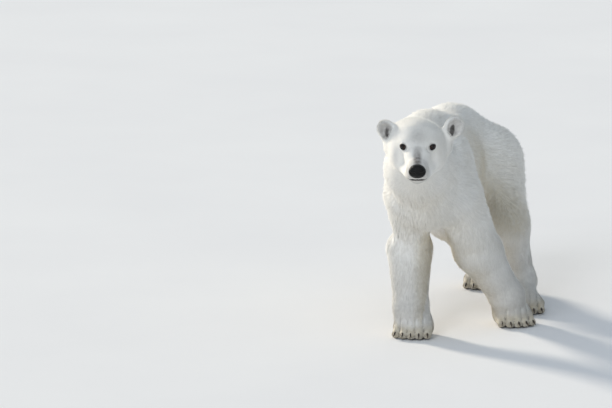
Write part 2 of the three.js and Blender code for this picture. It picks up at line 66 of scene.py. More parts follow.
# %% Places of the skeleton, in millimetres
MM = 0.001
EYE_MIDDLE = (-5, -459, 1041)
HEAD_TURN = math.radians(11)
HEAD_DIP = math.radians(11)
EYE_RADIUS = 14.5
EARS = ((170, -142, 50), (151, -142, 33))        # middles, left and right
EAR_RADII = ((50, 20, 55), (46, 20, 50))
EAR_CUP = 0.7                        # the hollow's width and height, as shares of the ear's
EYE_GAZE = (0.34, 1, 0.05)           # where the left eye looks, along the head's own axes
LEGS = {
    "fore_right": dict(side=-1, top=(-162, 110, 690), bend=(-184, 215, 410), wrist=(-152, 100, 140),
                       toes=(-128, -35, 0), heading=3, above=80, inset=18),
    "fore_left": dict(side=1, top=(66, 150, 690), bend=(134, 320, 400), wrist=(262, 430, 150),
                      toes=(343, 352, 0), heading=27, above=118, inset=0),
    "hind_right": dict(side=-1, top=(-228, 1070, 700), bend=(-150, 1010, 430), wrist=(-60, 1335, 165),
                       toes=(-18, 1195, 0), heading=8),
    "hind_left": dict(side=1, top=(66, 1050, 700), bend=(168, 872, 420), wrist=(240, 935, 130),
                      toes=(318, 662, 0), heading=12),
}


def axes_along(forward, up=(0, 0, 1)):
    """Left, forward and up directions of a piece, one to a row."""
    ahead = np.array(forward, float) / np.linalg.norm(forward)
    left = np.cross(up, ahead)
    left /= np.linalg.norm(left)
    return np.array([left, ahead, np.cross(ahead, left)])


def foot_axes(leg):
    angle = math.radians(leg["heading"])
    return axes_along((math.sin(angle), -math.cos(angle), 0))


def on_foot(leg, place):
    return np.array(leg["toes"]) + np.array(place) @ foot_axes(leg)


HEAD = axes_along((math.sin(HEAD_TURN) * math.cos(HEAD_DIP),
                   -math.cos(HEAD_TURN) * math.cos(HEAD_DIP), -math.sin(HEAD_DIP)))


def head_place(place):
    return np.array(EYE_MIDDLE) + np.array(place) @ HEAD


mounts = {mount["name"]: mount["pos_m"] for mount in frame["record"]["mounts"]}
PAD_MIDDLE = (0, -100, 0)            # the sole's middle, behind the tip of the middle toe
GROUND = np.array(mounts["sole_fore_right"]) - on_foot(LEGS["fore_right"], PAD_MIDDLE) * MM
GROUND[2] = 0


def to_frame(points):
    """Sculpting millimetres to the frame's metres."""
    return np.asarray(points) * MM + GROUND


def from_frame(place):
    return (np.array(place) - GROUND) / MM


def middle(node):
    low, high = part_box(node)
    return (np.array(low) + np.array(high)) / 2


EYES = {side: from_frame(middle("eye_" + side)) for side in ("left", "right")}
print("ground point", GROUND.round(4), "eyes", {k: v.round(1) for k, v in EYES.items()})

# %% [markdown]
# ## The sculptor's tools
# A smooth body is hard to model corner by corner. Here its surface is where a distance is
# zero, as in a cloud of points that each know how far they are from the coat: limbs and eggs
# give that distance, and `join` melts them together with a fillet, as clay does.

# %% Distances to limbs and eggs, and how they join


def limb(p, a, b, ra, rb):
    """Distance to a tapered limb with round ends."""
    a = np.array(a, np.float32)
    along = np.array(b, np.float32) - a
    t = np.clip((p - a) @ along / (along @ along), 0, 1)
    return np.linalg.norm(p - a - t[:, None] * along, axis=1) - (ra + (rb - ra) * t)


def egg(p, centre, radii, axes=None):
    """Distance to an egg shape, good near its surface."""
    q = p - np.array(centre, np.float32)
    if axes is not None:
        q = q @ axes.T.astype(np.float32)
    radii = np.array(radii, np.float32)
    near = np.linalg.norm(q / radii, axis=1)
    steep = np.linalg.norm(q / (radii * radii), axis=1)
    return near * (near - 1) / np.maximum(steep, 1e-9)


def join(k, first, *rest):
    """Melts shapes together with a fillet about k / 4 deep."""
    for other in rest:
        h = np.maximum(k - np.abs(first - other), 0) / k
        first = np.minimum(first, other) - h * h * k / 4
    return first


def carve(k, body, cutter):
    return -join(k, -body, cutter)


def ramp(value, start, end):
    """0 before start, 1 after end and smooth between; start may be the larger."""
    t = np.clip((value - start) / (end - start), 0, 1)
    return t * t * (3 - 2 * t)


def mix(a, b, share):
    return a + (b - a) * share


# %% [markdown]
# ## The outline of the coat
# The head is measured along its own axes from between the eyes and mirrored down its middle;
# only the ears sit at two heights, since the bear tips one back. Neck, trunk and legs follow
# the skeleton. These are the same measures as the solids have, so the skin can't drift off.

# %% Head
EAR_AXES = axes_along((0.25, 1, 0.12), (0.35, 0, 1))
CREASE = 4                           # rounds the face's middle line a little


def head_measures(p):
    """Left, forward and up from between the eyes, and the same folded onto the left half."""
    q = (p - np.array(EYE_MIDDLE, np.float32)) @ HEAD.T.astype(np.float32)
    folded = np.concatenate([np.sqrt(q[:, :1] ** 2 + CREASE), q[:, 1:]], 1)
    return q, folded


def ear_measures(q, folded):
    """Places measured from the middle of the nearer ear."""
    return folded - np.where(q[:, :1] > 0, *np.array(EARS, np.float32))


def ear_distance(q, folded, cupped=True):
    own = ear_measures(q, folded)
    ears = []
    for radii in EAR_RADII:
        ear = egg(own, (0, 0, 0), radii, EAR_AXES)
        if cupped:
            hollow = (EAR_CUP * radii[0], radii[1], EAR_CUP * radii[2])
            ear = carve(8, ear, egg(own, (4, 20, 2), hollow, EAR_AXES))
        ears.append(ear)
    return np.where(q[:, 0] > 0, *ears)


def head_outline(p, cupped):
    q, h = head_measures(p)
    dome = join(30, egg(h, (0, -95, 0), (117, 120, 79)), egg(h, (0, -120, 20), (122, 86, 57)))
    face = join(55, dome, egg(h, (82, -105, -70), (60, 88, 72)))          # cheeks
    face = join(30, face, egg(h, (42, -40, 18), (38, 46, 25)))            # brows
    face = join(40, face, limb(h, (0, -80, 8), (0, 22, -32), 80, 55))     # forehead
    face = join(30, face, limb(h, (0, -10, -42), (0, 125, -72), 60, 47))  # muzzle
    face = join(24, face, egg(h, (0, 118, -70), (50, 58, 43)))            # snout
    face = join(12, face, egg(h, (24, 95, -94), (31, 60, 25)))            # lips
    face = join(36, face, limb(h, (70, -110, -108), (27, 74, -114), 50, 29))   # jaw
    face = join(14, face, egg(h, (0, 98, -117), (34, 52, 23)))            # chin
    face = join(30, face, limb(h, (150, -142, 20), (124, -135, -50), 20, 42))    # roots of the ears
    return join(26, face, ear_distance(q, h, cupped))


# %% Neck, trunk and tail
MIDDLE = -84
NARROWING = 0.84                     # of the barrel's width against its height
EVENED = 0.94                        # brings distances in the narrowed space nearer to true ones
STATIONS = (((14, 90, 750), 182), ((-17, 340, 752), 224), ((-50, 660, 742), 240),
            ((-44, 960, 760), 226), ((-30, 1110, 750), 180))
TAIL = ((-122, 1216, 790), (-122, 1296, 672))


def torso_outline(p, cupped):
    narrow = (p - np.array((MIDDLE, 0, 0), np.float32)) / np.array((NARROWING, 1, 1), np.float32)
    lengths = [limb(narrow, a, b, ra, rb) for (a, ra), (b, rb) in zip(STATIONS, STATIONS[1:])]
    back = join(60, *lengths) * EVENED
    back = join(90, back, egg(p, (-140, 390, 884), (160, 330, 187)))      # withers
    back = join(110, back, limb(p, (-100, 240, 880), (-124, 900, 888), 68, 76))
    back = join(90, back, egg(p, (-136, 1000, 796), (160, 245, 165)))     # croup
    trunk = join(80, back, egg(p, (-112, 680, 660), (170, 380, 165)),
                 egg(p, (-56, 75, 700), (135, 140, 150)))                 # belly, brisket
    neck = join(60, limb(p, (-70, 130, 810), (-72, -110, 877), 184, 158),
                limb(p, (-72, -110, 877), head_place((-22, -150, -32)), 158, 122))
    trunk = join(40, join(110, trunk, neck), head_outline(p, cupped))
    return join(45, trunk, limb(p, *TAIL, 54, 42))


# %% Legs
TOE_SHAPES = {
    "fore": dict(root=(69, 100, 14, 50), tip=(77, 30, 24, 21), thick=29, thin=22),
    "hind": dict(root=(66, 100, 12, 46), tip=(74, 30, 22, 20), thick=27, thin=21),
}


def toe_places(name):
    """Root and tip of each toe, as a fan across the foot."""
    leg, shape = LEGS[name], TOE_SHAPES[name[:4]]
    places = []
    for t in (-1, -0.5, 0, 0.5, 1):
        (rs, rb, rc, rh), (ts, tb, tc, th) = shape["root"], shape["tip"]
        root = on_foot(leg, (rs * t, -(rb + rc * t * t), rh - 6 * abs(t)))
        places.append((t, root, on_foot(leg, (ts * t, -(tb + tc * t * t), th))))
    return places


def toe_distances(p, name):
    shape = TOE_SHAPES[name[:4]]
    return [limb(p, root, tip, shape["thick"], shape["thin"]) for _, root, tip in toe_places(name)]


def paw_grooves(p):
    """1 in the furrows between the toes, which run on up the foot; 0 elsewhere."""
    furrow = np.zeros(len(p), np.float32)
    for leg in LEGS.values():
        side, ahead, up = ((p - np.array(leg["toes"], np.float32)) @ foot_axes(leg).T.astype(np.float32)).T
        widen = 69 + 0.12 * (ahead + 100)
        away = np.min([np.abs(side - t * widen) for t in (-0.75, -0.25, 0.25, 0.75)], axis=0)
        here = ramp(away, 8, 1) * ramp(ahead, -175, -115) * ramp(ahead, 10, -20) * ramp(up, 25, 45)
        furrow = np.maximum(furrow, here * ramp(up, 130, 90) * ramp(np.abs(side), 88, 70))
    return furrow


def fore_outline(p, name):
    leg = LEGS[name]
    axes = foot_axes(leg)
    top, bend, side = np.array(leg["top"]), np.array(leg["bend"]), leg["side"]
    blade = egg(p, top + (-2 * side, 60, 92), (68, 155, 190))
    arm = join(80, blade, limb(p, top, bend - (leg["inset"] * side, 0, 0), 128, leg["above"]))
    arm = join(40, arm, limb(p, bend, leg["wrist"], 114, 83),
               egg(p, bend + (28 * side, 42, -38), (86, 72, 120)))        # elbow
    heel = egg(p, on_foot(leg, (0, -165, 52)), (80, 62, 70), axes)
    pad = egg(p, on_foot(leg, (0, -118, 44)), (92, 84, 56), axes)
    instep = limb(p, leg["wrist"], on_foot(leg, (0, -128, 62)), 82, 64)
    return join(16, join(45, join(60, arm, heel), join(50, pad, instep)), join(7, *toe_distances(p, name)))


def hind_outline(p, name):
    leg = LEGS[name]
    axes = foot_axes(leg)
    top = np.array(leg["top"])
    thigh = join(90, egg(p, top + (0, 15, -24), (120, 195, 200)), limb(p, top, leg["bend"], 150, 118))
    shank = join(60, thigh, limb(p, leg["bend"], leg["wrist"], 112, 72))
    foot = join(45, limb(p, leg["wrist"], on_foot(leg, (0, -128, 56)), 70, 58),
                egg(p, on_foot(leg, (0, -128, 40)), (88, 96, 50), axes))
    return join(16, join(45, shank, foot), join(7, *toe_distances(p, name)))


def outline(p, cupped=True):
    """The coat's outer surface: negative inside the bear."""
    front = join(60, torso_outline(p, cupped), fore_outline(p, "fore_right"), fore_outline(p, "fore_left"))
    return join(95, front, hind_outline(p, "hind_left"), hind_outline(p, "hind_right"))


# %% [markdown]
# ## How deep the coat is
# A bear's hair is a few millimetres long on the muzzle and around the eyes, a centimetre or so
# on the feet and several on the body. It lies nearly flat, so the skin is inside the outline by
# only a sixth or so of that length.

# %% Depth of the coat at any place
SOLE_HEIGHT = 0.3                    # the bare soles, just clear of the floor


def coat_depth(p, finished=True):
    q, h = head_measures(p)
    z = p[:, 2]
    body = mix(8.5, 5.2, ramp(z, 560, 300))
    body = mix(body, 2.0, ramp(z, 160, 70))
    body = mix(body, 0.9, ramp(z, 36, 12))
    head = mix(4.2, 1.7, ramp(h[:, 1], -160, -20))
    head = mix(head, 0.9, ramp(h[:, 1], 20, 110))
    ear = 1.3 if finished else 0.0
    head = mix(head, ear, ramp(ear_distance(q, h, cupped=False), 14, 2))
    return mix(body, head, ramp(h[:, 1], -300, -120) * ramp(z, 680, 860))


# %% [markdown]
# ## Lids, mouth and nose
# The lids are a thin dome over each eyeball. Their slit is an almond, tilted so that the inner
# corner lies lower, and behind it the skin turns in and lines the whole socket. The mouth is
# a fine crease from the groove under the nose back along the cheeks. The nose sits in a
# shallow dish of its own.

# %% Lids, mouth and nose
LID = 2.6                            # thickness of a lid
LINING = 0.35                        # between the eyeball and its socket
ORBIT_SHIFT, ORBIT_AHEAD = 8, 28     # a dish round each eye, deeper towards the nose
ORBIT_RADII = (29, 18, 19)
SLIT_TILT = 0.16                     # the outer corner lies this much higher for its distance
MOUTH = ((0, 168, -98), (18, 163, -101), (36, 138, -105), (46, 98, -107), (53, 55, -103), (57, 26, -95))
NOSE_LINING = 0.4                    # between the nose and the dish in which it sits
GROOVE_DEPTH = 3.0                   # of the furrows between the toes


def eye_axes(side):
    sign = 1 if side == "left" else -1
    sideways, forward, upward = EYE_GAZE
    ahead = np.array((sideways * sign, forward, upward)) @ HEAD
    up = np.array((-SLIT_TILT * sign, 0, 1)) @ HEAD
    return axes_along(ahead, up)


def mouth_distance(h):
    return np.min([limb(h, a, b, 0, 0) for a, b in zip(MOUTH, MOUTH[1:])], axis=0)


def nose_blank(h):
    """The nose before its nostrils are cut."""
    return join(8, egg(h, (0, 163, -58), (40, 24, 32)), egg(h, (0, 146, -50), (30, 24, 17)))


def skin_surface(p, finished=True):
    """The skin. Unfinished, its ears are full and its mouth and the nose's dish aren't cut yet."""
    surface = outline(p, cupped=finished) + coat_depth(p, finished)
    low = p[:, 2] < 200
    surface[low] += GROOVE_DEPTH * paw_grooves(p[low])
    _, h = head_measures(p)
    near = (h[:, 1] > -70) & (h[:, 2] < 70) & (h[:, 2] > -170)
    face, spot = surface[near], p[near]
    for side, centre in EYES.items():
        axes = eye_axes(side)
        inward = -ORBIT_SHIFT if side == "left" else ORBIT_SHIFT
        orbit = egg(spot, centre + np.array((inward, ORBIT_AHEAD, 0)) @ axes, ORBIT_RADII, axes)
        face = carve(8, face, orbit)
        face = join(5, face, np.linalg.norm(spot - centre, axis=1) - EYE_RADIUS - LID)
    if finished:
        face = carve(4, face, mouth_distance(h[near]) - 2)
        face = carve(1.5, face, nose_blank(h[near]) - NOSE_LINING)
    surface[near] = face
    return np.maximum(surface, SOLE_HEIGHT - p[:, 2])


def rough_skin(p):
    return skin_surface(p, finished=False)


# %% [markdown]
# ## From a distance to a mesh
# A grid of cubes is laid through the body. Each cube that the surface crosses gets one corner,
# and each grid line that it crosses gets one four-sided face, so the mesh has no seams and is
# closed by itself. Afterwards each corner slides along the slope onto the surface.

# %% Mesh helpers
SLAB = 60000                         # points worked out at a time


def evaluate(field, points):
    points = np.asarray(points, np.float32)
    return np.concatenate([field(points[i:i + SLAB]) for i in range(0, len(points), SLAB)])


def net(field, low, high, cell):
    """Corners and four-sided faces of a closed surface inside a box."""
    low, high = np.array(low, float), np.array(high, float)
    n = np.ceil((high - low) / cell).astype(int) + 1
    grid = np.stack(np.meshgrid(*[np.arange(m) for m in n], indexing="ij"), -1).reshape(-1, 3)
    g = evaluate(field, low + grid * cell).reshape(n)
    for axis in range(3):
        np.moveaxis(g, axis, 0)[[0, -1]] = cell
    inside = g < 0
    m = n - 1
    ends = [(i, j, k) for i in (0, 1) for j in (0, 1) for k in (0, 1)]

    def at(a, c):
        return a[c[0]:c[0] + m[0], c[1]:c[1] + m[1], c[2]:c[2] + m[2]]

    count = sum(at(inside, c).astype(int) for c in ends)
    cells = np.argwhere((count > 0) & (count < 8))
    index = np.full(m, -1)
    index[tuple(cells.T)] = np.arange(len(cells))
    total, hits = np.zeros((len(cells), 3)), np.zeros(len(cells))
    for a in ends:
        for b in ends:
            if a >= b or sum(abs(x - y) for x, y in zip(a, b)) != 1:
                continue
            ga, gb = at(g, a)[tuple(cells.T)], at(g, b)[tuple(cells.T)]
            cross = (ga < 0) != (gb < 0)
            t = np.where(cross, ga / np.where(ga == gb, 1, ga - gb), 0)
            total += cross[:, None] * (np.array(a) + t[:, None] * (np.array(b) - np.array(a)))
            hits += cross
    corners = low + (cells + total / hits[:, None]) * cell
    faces = []
    for axis in range(3):
        e, f = (axis + 1) % 3, (axis + 2) % 3
        here = np.moveaxis(inside, axis, 0)
        change = here[:-1] != here[1:]
        line = np.argwhere(np.moveaxis(change, 0, axis))
        line = line[(line[:, e] > 0) & (line[:, f] > 0) & (line[:, e] < n[e] - 1) & (line[:, f] < n[f] - 1)]
        ring = []
        for u, v in ((0, 0), (1, 0), (1, 1), (0, 1)):
            c = line.copy()
            c[:, e] -= u
            c[:, f] -= v
            ring.append(index[tuple(c.T)])
        ring = np.stack(ring, 1)
        starts_inside = inside[tuple(line.T)]
        ring[~starts_inside] = ring[~starts_inside][:, ::-1]
        faces.append(ring)
    return corners, np.concatenate(faces)


def slope(field, points, step=0.6):
    """The way out of the body at each point."""
    parts = []
    for axis in range(3):
        shift = np.zeros(3, np.float32)
        shift[axis] = step
        parts.append((evaluate(field, points + shift) - evaluate(field, points - shift)) / (2 * step))
    return np.stack(parts, 1)


def settle(field, points, reach, rounds=3):
    """Slides points onto the surface, by at most `reach` a round."""
    for _ in range(rounds):
        distance = evaluate(field, points)
        way = slope(field, points)
        step = -distance / np.maximum((way * way).sum(1), 0.1)
        points = points + way * np.clip(step, -reach, reach)[:, None]
    return points


def make_object(name, corners, faces):
    mesh = bpy.data.meshes.new(name)
    mesh.from_pydata(corners.tolist(), [], faces if isinstance(faces, list) else faces.tolist())
    mesh.update()
    piece = bpy.data.objects.new(name, mesh)
    bpy.context.scene.collection.objects.link(piece)
    return piece


def face_outwards(mesh):
    bm = bmesh.new()
    bm.from_mesh(mesh)
    bmesh.ops.recalc_face_normals(bm, faces=bm.faces)
    bm.to_mesh(mesh)
    bm.free()


def shade_smooth(mesh):
    mesh.polygons.foreach_set("use_smooth", [True] * len(mesh.polygons))


def numbers_of(items, kind, name, width=1):
    """One property of all a mesh's items, as an array with one row for each."""
    flat = np.empty(len(items) * width, kind)
    items.foreach_get(name, flat)
    return flat if width == 1 else flat.reshape(-1, width)


def corners_of(mesh):
    return numbers_of(mesh.vertices, np.float32, "co", 3)


def place_corners(mesh, corners):
    mesh.vertices.foreach_set("co", np.asarray(corners, np.float32).ravel())
    mesh.update()


# %% [markdown]
# ## The skin
# One even grid fine enough for the eyelids would be far too heavy on the flank. So the skin
# starts as a rough one with cells of 14 mm or so and is divided only where there is more to see: on
# the head and paws, again on the face, and twice more around the eyes, mouth and nose. After
# each division its corners slide onto the finished surface.

# %% Build the skin
CELL = 13.7
LOW, HIGH = (-400, -660, -CELL), (440, 1430, 1190)     # the box of the rough grid
FINE_HEAD, FINE_FACE, FINE_PAW = -225, -70, 130        # from where the skin is divided


def refine(mesh, field, chosen, reach, rounds=4):
    """Divides the faces whose corners are all chosen, and settles the corners."""
    bm = bmesh.new()
    bm.from_mesh(mesh)
    bm.verts.ensure_lookup_table()
    edges = [e for e in bm.edges if chosen[e.verts[0].index] and chosen[e.verts[1].index]]
    bmesh.ops.subdivide_edges(bm, edges=edges, cuts=1, use_grid_fill=True)
    bm.to_mesh(mesh)
    bm.free()
    place_corners(mesh, settle(field, corners_of(mesh), reach, rounds))


def details(p):
    """Distance to the nearest eye, and to the mouth or the nose, whichever is nearer."""
    _, h = head_measures(p)
    eyes = np.min([np.linalg.norm(p - centre, axis=1) for centre in EYES.values()], axis=0)
    return eyes, np.minimum(mouth_distance(h), np.abs(nose_blank(h)))


corners, faces = net(rough_skin, LOW, HIGH, CELL)
skin = make_object("skin", settle(rough_skin, corners, CELL / 3), faces)
for level in (1, 2, 3, 4):
    p = corners_of(skin.data)
    q, h = head_measures(p)
    on_head = (h[:, 1] > FINE_HEAD) & (p[:, 2] > 780)
    on_face = on_head & ((h[:, 1] > FINE_FACE) | (ear_distance(q, h) < 12))
    eyes, lips = details(p)
    chosen = {1: on_head | (p[:, 2] < FINE_PAW), 2: on_face,
              3: (eyes < 38) | (lips < 10), 4: (eyes < 25) | (lips < 4)}[level]
    refine(skin.data, skin_surface, chosen, CELL / 2 ** level)
    print("skin level", level, len(skin.data.polygons), "faces")

# %% [markdown]
# ## Opening the eyes
# The two domes over the eyeballs are still shut. Inside an almond-shaped outline each corner of
# the mesh is taken through the slit: the outermost ones make the lid's edge and the rest slide
# along the inside of the socket, so that the lid has a real thickness and the eyeball, which
# is a piece of its own, sits free behind it.

# %% Open the eyes
SLIT_WIDE = math.radians(68)         # from the middle of the slit to its corners
SLIT_TALL = math.radians(46)
SLIT_CORNER = 0.26                   # how much the corners are drawn out to points
LID_EDGE = 0.84                      # inside this share of the slit the socket's lining starts


def slit_share(places, axes):
    """0 in the middle of the slit, 1 on its outline; with the angle from the gaze."""
    left, ahead, up = (places @ axes.T).T
    across = np.arctan2(left, ahead) / SLIT_WIDE
    rise = np.arctan2(up, np.hypot(left, ahead))
    tall = rise / (SLIT_TALL * (1 - SLIT_CORNER * np.minimum(across ** 2, 1)))
    return np.where(ahead > 0, np.hypot(across, tall), 9), np.arctan2(np.hypot(left, up), ahead)


def open_eyes(p):
    for side, centre in EYES.items():
        axes = eye_axes(side)
        arm = p - centre
        share, angle = slit_share(arm, axes)
        inside = (share < 1) & (np.linalg.norm(arm, axis=1) < EYE_RADIUS + 3 * LID)
        share, angle = share[inside], angle[inside]
        flat = arm[inside] @ axes.T
        round_gaze = np.arctan2(flat[:, 2], flat[:, 0])
        edge_angle = angle / np.maximum(share, 1e-4) * LID_EDGE
        deep = np.pi - (np.pi - edge_angle) * share / LID_EDGE
        edge = share > LID_EDGE
        angle = np.where(edge, angle, deep)
        radius = EYE_RADIUS + np.where(edge, mix(LINING, LID, ramp(share, LID_EDGE, 1)), LINING)
        ring = np.sin(angle) * radius
        flat = np.stack([np.cos(round_gaze) * ring, np.cos(angle) * radius, np.sin(round_gaze) * ring], 1)
        p[inside] = centre + flat @ axes
    return p


place_corners(skin.data, open_eyes(corners_of(skin.data)))

bm = bmesh.new()
bm.from_mesh(skin.data)
odd = [e for e in bm.edges if len(e.link_faces) != 2]
triangles = sum(len(face.verts) - 2 for face in bm.faces)
print("skin:", triangles, "triangles,", len(odd), "edges not shared by two faces")
bm.free()

# %% [markdown]
# ## The lie of the coat
# Hair on a bear starts at the nose. It runs back over the face, parts round the ears, sweeps
# along the trunk to the tail, and falls straight down the legs until it turns forward over
# the toes. Each corner of the skin gets that direction, and the length, breadth and crowding
# of the tufts there, all from the depth of the coat.

# %% Directions
NOSE_TIP = head_place((0, 178, -80))


def smooth_normals(mesh):
    return numbers_of(mesh.vertex_normals, np.float32, "vector", 3)


def toward(share, a, b):
    """Turns directions a towards b by a share between 0 and 1."""
    return a * (1 - share[:, None]) + b * share[:, None]


def unit(vectors):
    return vectors / np.maximum(np.linalg.norm(vectors, axis=1, keepdims=True), 1e-6)


def nearest_leg(p):
    places = list(LEGS)
    reach = [fore_outline(p, name) if name.startswith("fore") else hind_outline(p, name) for name in places]
    return np.argmin(reach, axis=0), np.min(reach, axis=0)


def lie_of_coat(p, out, leg_index):
    q, h = head_measures(p)
    lie = np.broadcast_to(np.array((0, 1, -0.5), np.float32), p.shape)
    behind = ramp(out[:, 1], 0.2, 0.7) * ramp(p[:, 1], 900, 1050)
    lie = toward(behind, lie, np.array((0, -0.3, -1), np.float32))
    down = np.array((0, 0.12, -1), np.float32)
    lie = toward(ramp(p[:, 2], 640, 470), lie, down)
    forward = np.array([foot_axes(leg)[1] for leg in LEGS.values()])[leg_index]
    lie = toward(ramp(p[:, 2], 135, 60), lie, forward + np.array((0, 0, -0.45)))
    away = unit(p - NOSE_TIP)
    on_head = ramp(h[:, 1], -270, -150) * ramp(p[:, 2], 720, 800)
    lie = toward(on_head, lie, away)
    own = ear_measures(q, h)
    from_root = np.stack([np.sign(q[:, 0]) * (own[:, 0] + 40), own[:, 1] * 0.3, own[:, 2] + 45], 1) @ HEAD
    lie = toward(ramp(ear_distance(q, h), 12, 2) * ramp(h[:, 0], 95, 115), lie, unit(from_root))
    lie = lie - (lie * out).sum(1, keepdims=True) * out
    return unit(lie)


# %% Markings
GREY_STRIPE = 19                     # half width of the grey stripe on the bridge of the nose: thin hair, partly painted shade
ON_TOE = 9                           # the skin counts as a toe's this near to it
FAR = 99                             # a distance past all that is looked at
RIM_WIDER = 1.14                     # the bare rim is broader at the eye's corners
RIM_POINTS = 96                      # places along a slit's edge from which its distance is taken


def ear_slot(q, h):
    """The dark hollow low in each ear's cup."""
    return egg(ear_measures(q, h), (-8, 12, -13), (13, 27, 31), EAR_AXES)


def ear_cup(q, h):
    """The thin-haired hollow of each ear."""
    return egg(ear_measures(q, h), (4, 20, 2), (37, 24, 43), EAR_AXES)


def toe_crease(p):
    """How much nearer one toe is than the next, small in the creases between them."""
    creases = []
    for name in LEGS:
        nearest, second = np.sort(toe_distances(p, name), axis=0)[:2]
        creases.append(np.where(nearest < ON_TOE, second - nearest, FAR))
    return np.min(creases, axis=0)


def markings(p, out, to_rim):
    """How cream, grey and bare the skin is at each place."""
    q, h = head_measures(p)
    z = p[:, 2]
    inward = np.where(p[:, 0] < MIDDLE + 0.05 * p[:, 1], out[:, 0], -out[:, 0])
    cream = ramp(inward, 0.1, 0.9) * ramp(z, 720, 560) * 0.75
    under = ramp(-out[:, 2], 0.2, 0.9) * ramp(z, 900, 700)
    cream = np.maximum(cream, under * mix(0.3, 0.7, ramp(p[:, 1], 60, 260)))
    cream = np.maximum(cream, 0.9 * ramp(z, 90, 40))
    # Painted shade: the hollow of the flank behind the shoulder, which lies in shade, is coloured cream,
    # partly as a yellowed coat and partly as painted shade
    flank = ramp(np.abs(p[:, 0] - MIDDLE), 40, 130)
    patchy = 28 * np.sin(p @ (0.009, 0.015, 0.007)) + 22 * np.sin(p @ (0.021, -0.019, 0.031))
    deep = egg(p * (0, 1, 1), (0, 645, 640), (100, 185, 230)) + patchy
    faint = egg(p * (0, 1, 1), (0, 610, 780), (100, 200, 250)) - patchy
    flank_shade_and_stain = np.maximum(0.8 * ramp(deep, 130, -110), 0.42 * ramp(faint, 140, -100))
    cream = np.maximum(cream, flank * flank_shade_and_stain)
    # The grey stripe on the bridge is partly thin hair and partly painted shade of the bridge
    stripe = ramp(h[:, 0], GREY_STRIPE + 14, GREY_STRIPE - 12) * ramp(h[:, 1], 5, 110)
    stripe = stripe * ramp(h[:, 2], -75, -45) * 0.92
    # Painted shade between and above the eyes, where the brows shade the forehead
    between = ramp(np.abs(h[:, 0]), 60, 5) * ramp(np.abs(h[:, 1] - 5), 75, 0) * 0.3
    between = between * ramp(h[:, 2], -60, -20)
    # The muzzle's grey is partly thin hair and partly painted shade
    snout = ramp(h[:, 1], 40, 140) * 0.38
    feet = ramp(z, 480, 180) * 0.22
    # Painted shadow in the groove from each eye down the side of the muzzle
    cheek_groove_shade = ramp(limb(h, (47, 20, -16), (42, 66, -50), 3, 2), 7, 0) * 0.4
    round_eye = ramp(to_rim, 15, 4) * 0.6
    slot = ramp(ear_slot(q, h), 5, -4)
    cup = ramp(ear_cup(q, h), 7, -7) * 0.68
    # Painted shade in the creases between the toes and the furrows up the foot
    creases = np.maximum(ramp(toe_crease(p), 7, 1), 0.6 * paw_grooves(p))
    grey = np.maximum.reduce([stripe, between, snout, feet, cheek_groove_shade, round_eye, cup,
                              slot * 0.95, creases * 0.85])
    rims = np.maximum.reduce([
        ramp(to_rim, 4.6, 3.0), ramp(mouth_distance(h), 8.0, 5.0) * ramp(h[:, 1], 20, 80),
        ramp(nose_blank(h), 3.0, 1.4), ramp(z, 9, 3) * ramp(-out[:, 2], 0.5, 0.9), slot * 0.55])
    return cream, grey, rims


def slit_gap(p):
    """Millimetres from the edge of the nearer eye's slit, none inside it."""
    turns = np.linspace(0, 2 * np.pi, RIM_POINTS, endpoint=False)
    across = np.cos(turns)
    sideways = across * SLIT_WIDE
    rise = np.sin(turns) * SLIT_TALL * (1 - SLIT_CORNER * across ** 2)
    edge = np.stack([RIM_WIDER * np.sin(sideways) * np.cos(rise), np.cos(sideways) * np.cos(rise),
                     np.sin(rise)], 1)
    gap = np.full(len(p), float(FAR))
    for side, centre in EYES.items():
        arm = p - centre
        away = np.linalg.norm(arm, axis=1)
        near = away < 3 * EYE_RADIUS
        share, _ = slit_share(arm[near], eye_axes(side))
        ring = edge @ eye_axes(side) * (EYE_RADIUS + LID)
        reach = np.min([np.linalg.norm(arm[near] - corner, axis=1) for corner in ring], axis=0)
        gap[near] = np.where((share < 1) & (away[near] < EYE_RADIUS + LID + 1), 0, reach)
    return gap


# %% Tufts for each place
LIFT = math.radians(6)               # of a tuft above the skin
BARE_LID, BARE_LIP, BARE_NOSE = 2.8, 4.2, 2.2    # no tuft grows nearer than this
BARE_SOLE = 4                        # nor lower than this
FILL = {"head": 3.0, "trunk": 3.8, "legs": 2.9}   # layers of tufts over each place


def tuft_sizes(p, out, to_rim):
    """Length and breadth of the tufts in millimetres, and how many a square metre."""
    q, h = head_measures(p)
    depth = coat_depth(p)
    length = 2 + 6 * depth
    behind = ramp(out[:, 1], 0.3, 1) * ramp(p[:, 2], 60, 160) * ramp(p[:, 2], 820, 600)
    under = ramp(-out[:, 2], 0.4, 1) * ramp(p[:, 2], 200, 350)
    length = length * (1 + 0.3 * np.maximum(behind, under))
    length = length * (1 - 0.45 * ramp(ear_cup(q, h), 6, -6))
    length = np.minimum(length, 1.5 + 0.6 * to_rim)
    length = np.minimum(length, 2.5 + 0.7 * np.maximum(mouth_distance(h) - 4, 0))
    breadth = 0.9 + 0.09 * length
    layers = mix(FILL["legs"], FILL["trunk"], ramp(p[:, 2], 380, 620))
    layers = mix(layers, FILL["head"], ramp(h[:, 1], -300, -120) * ramp(p[:, 2], 740, 860))
    crowd = layers / (0.5 * length * breadth * 1e-6)
    return length, breadth, crowd


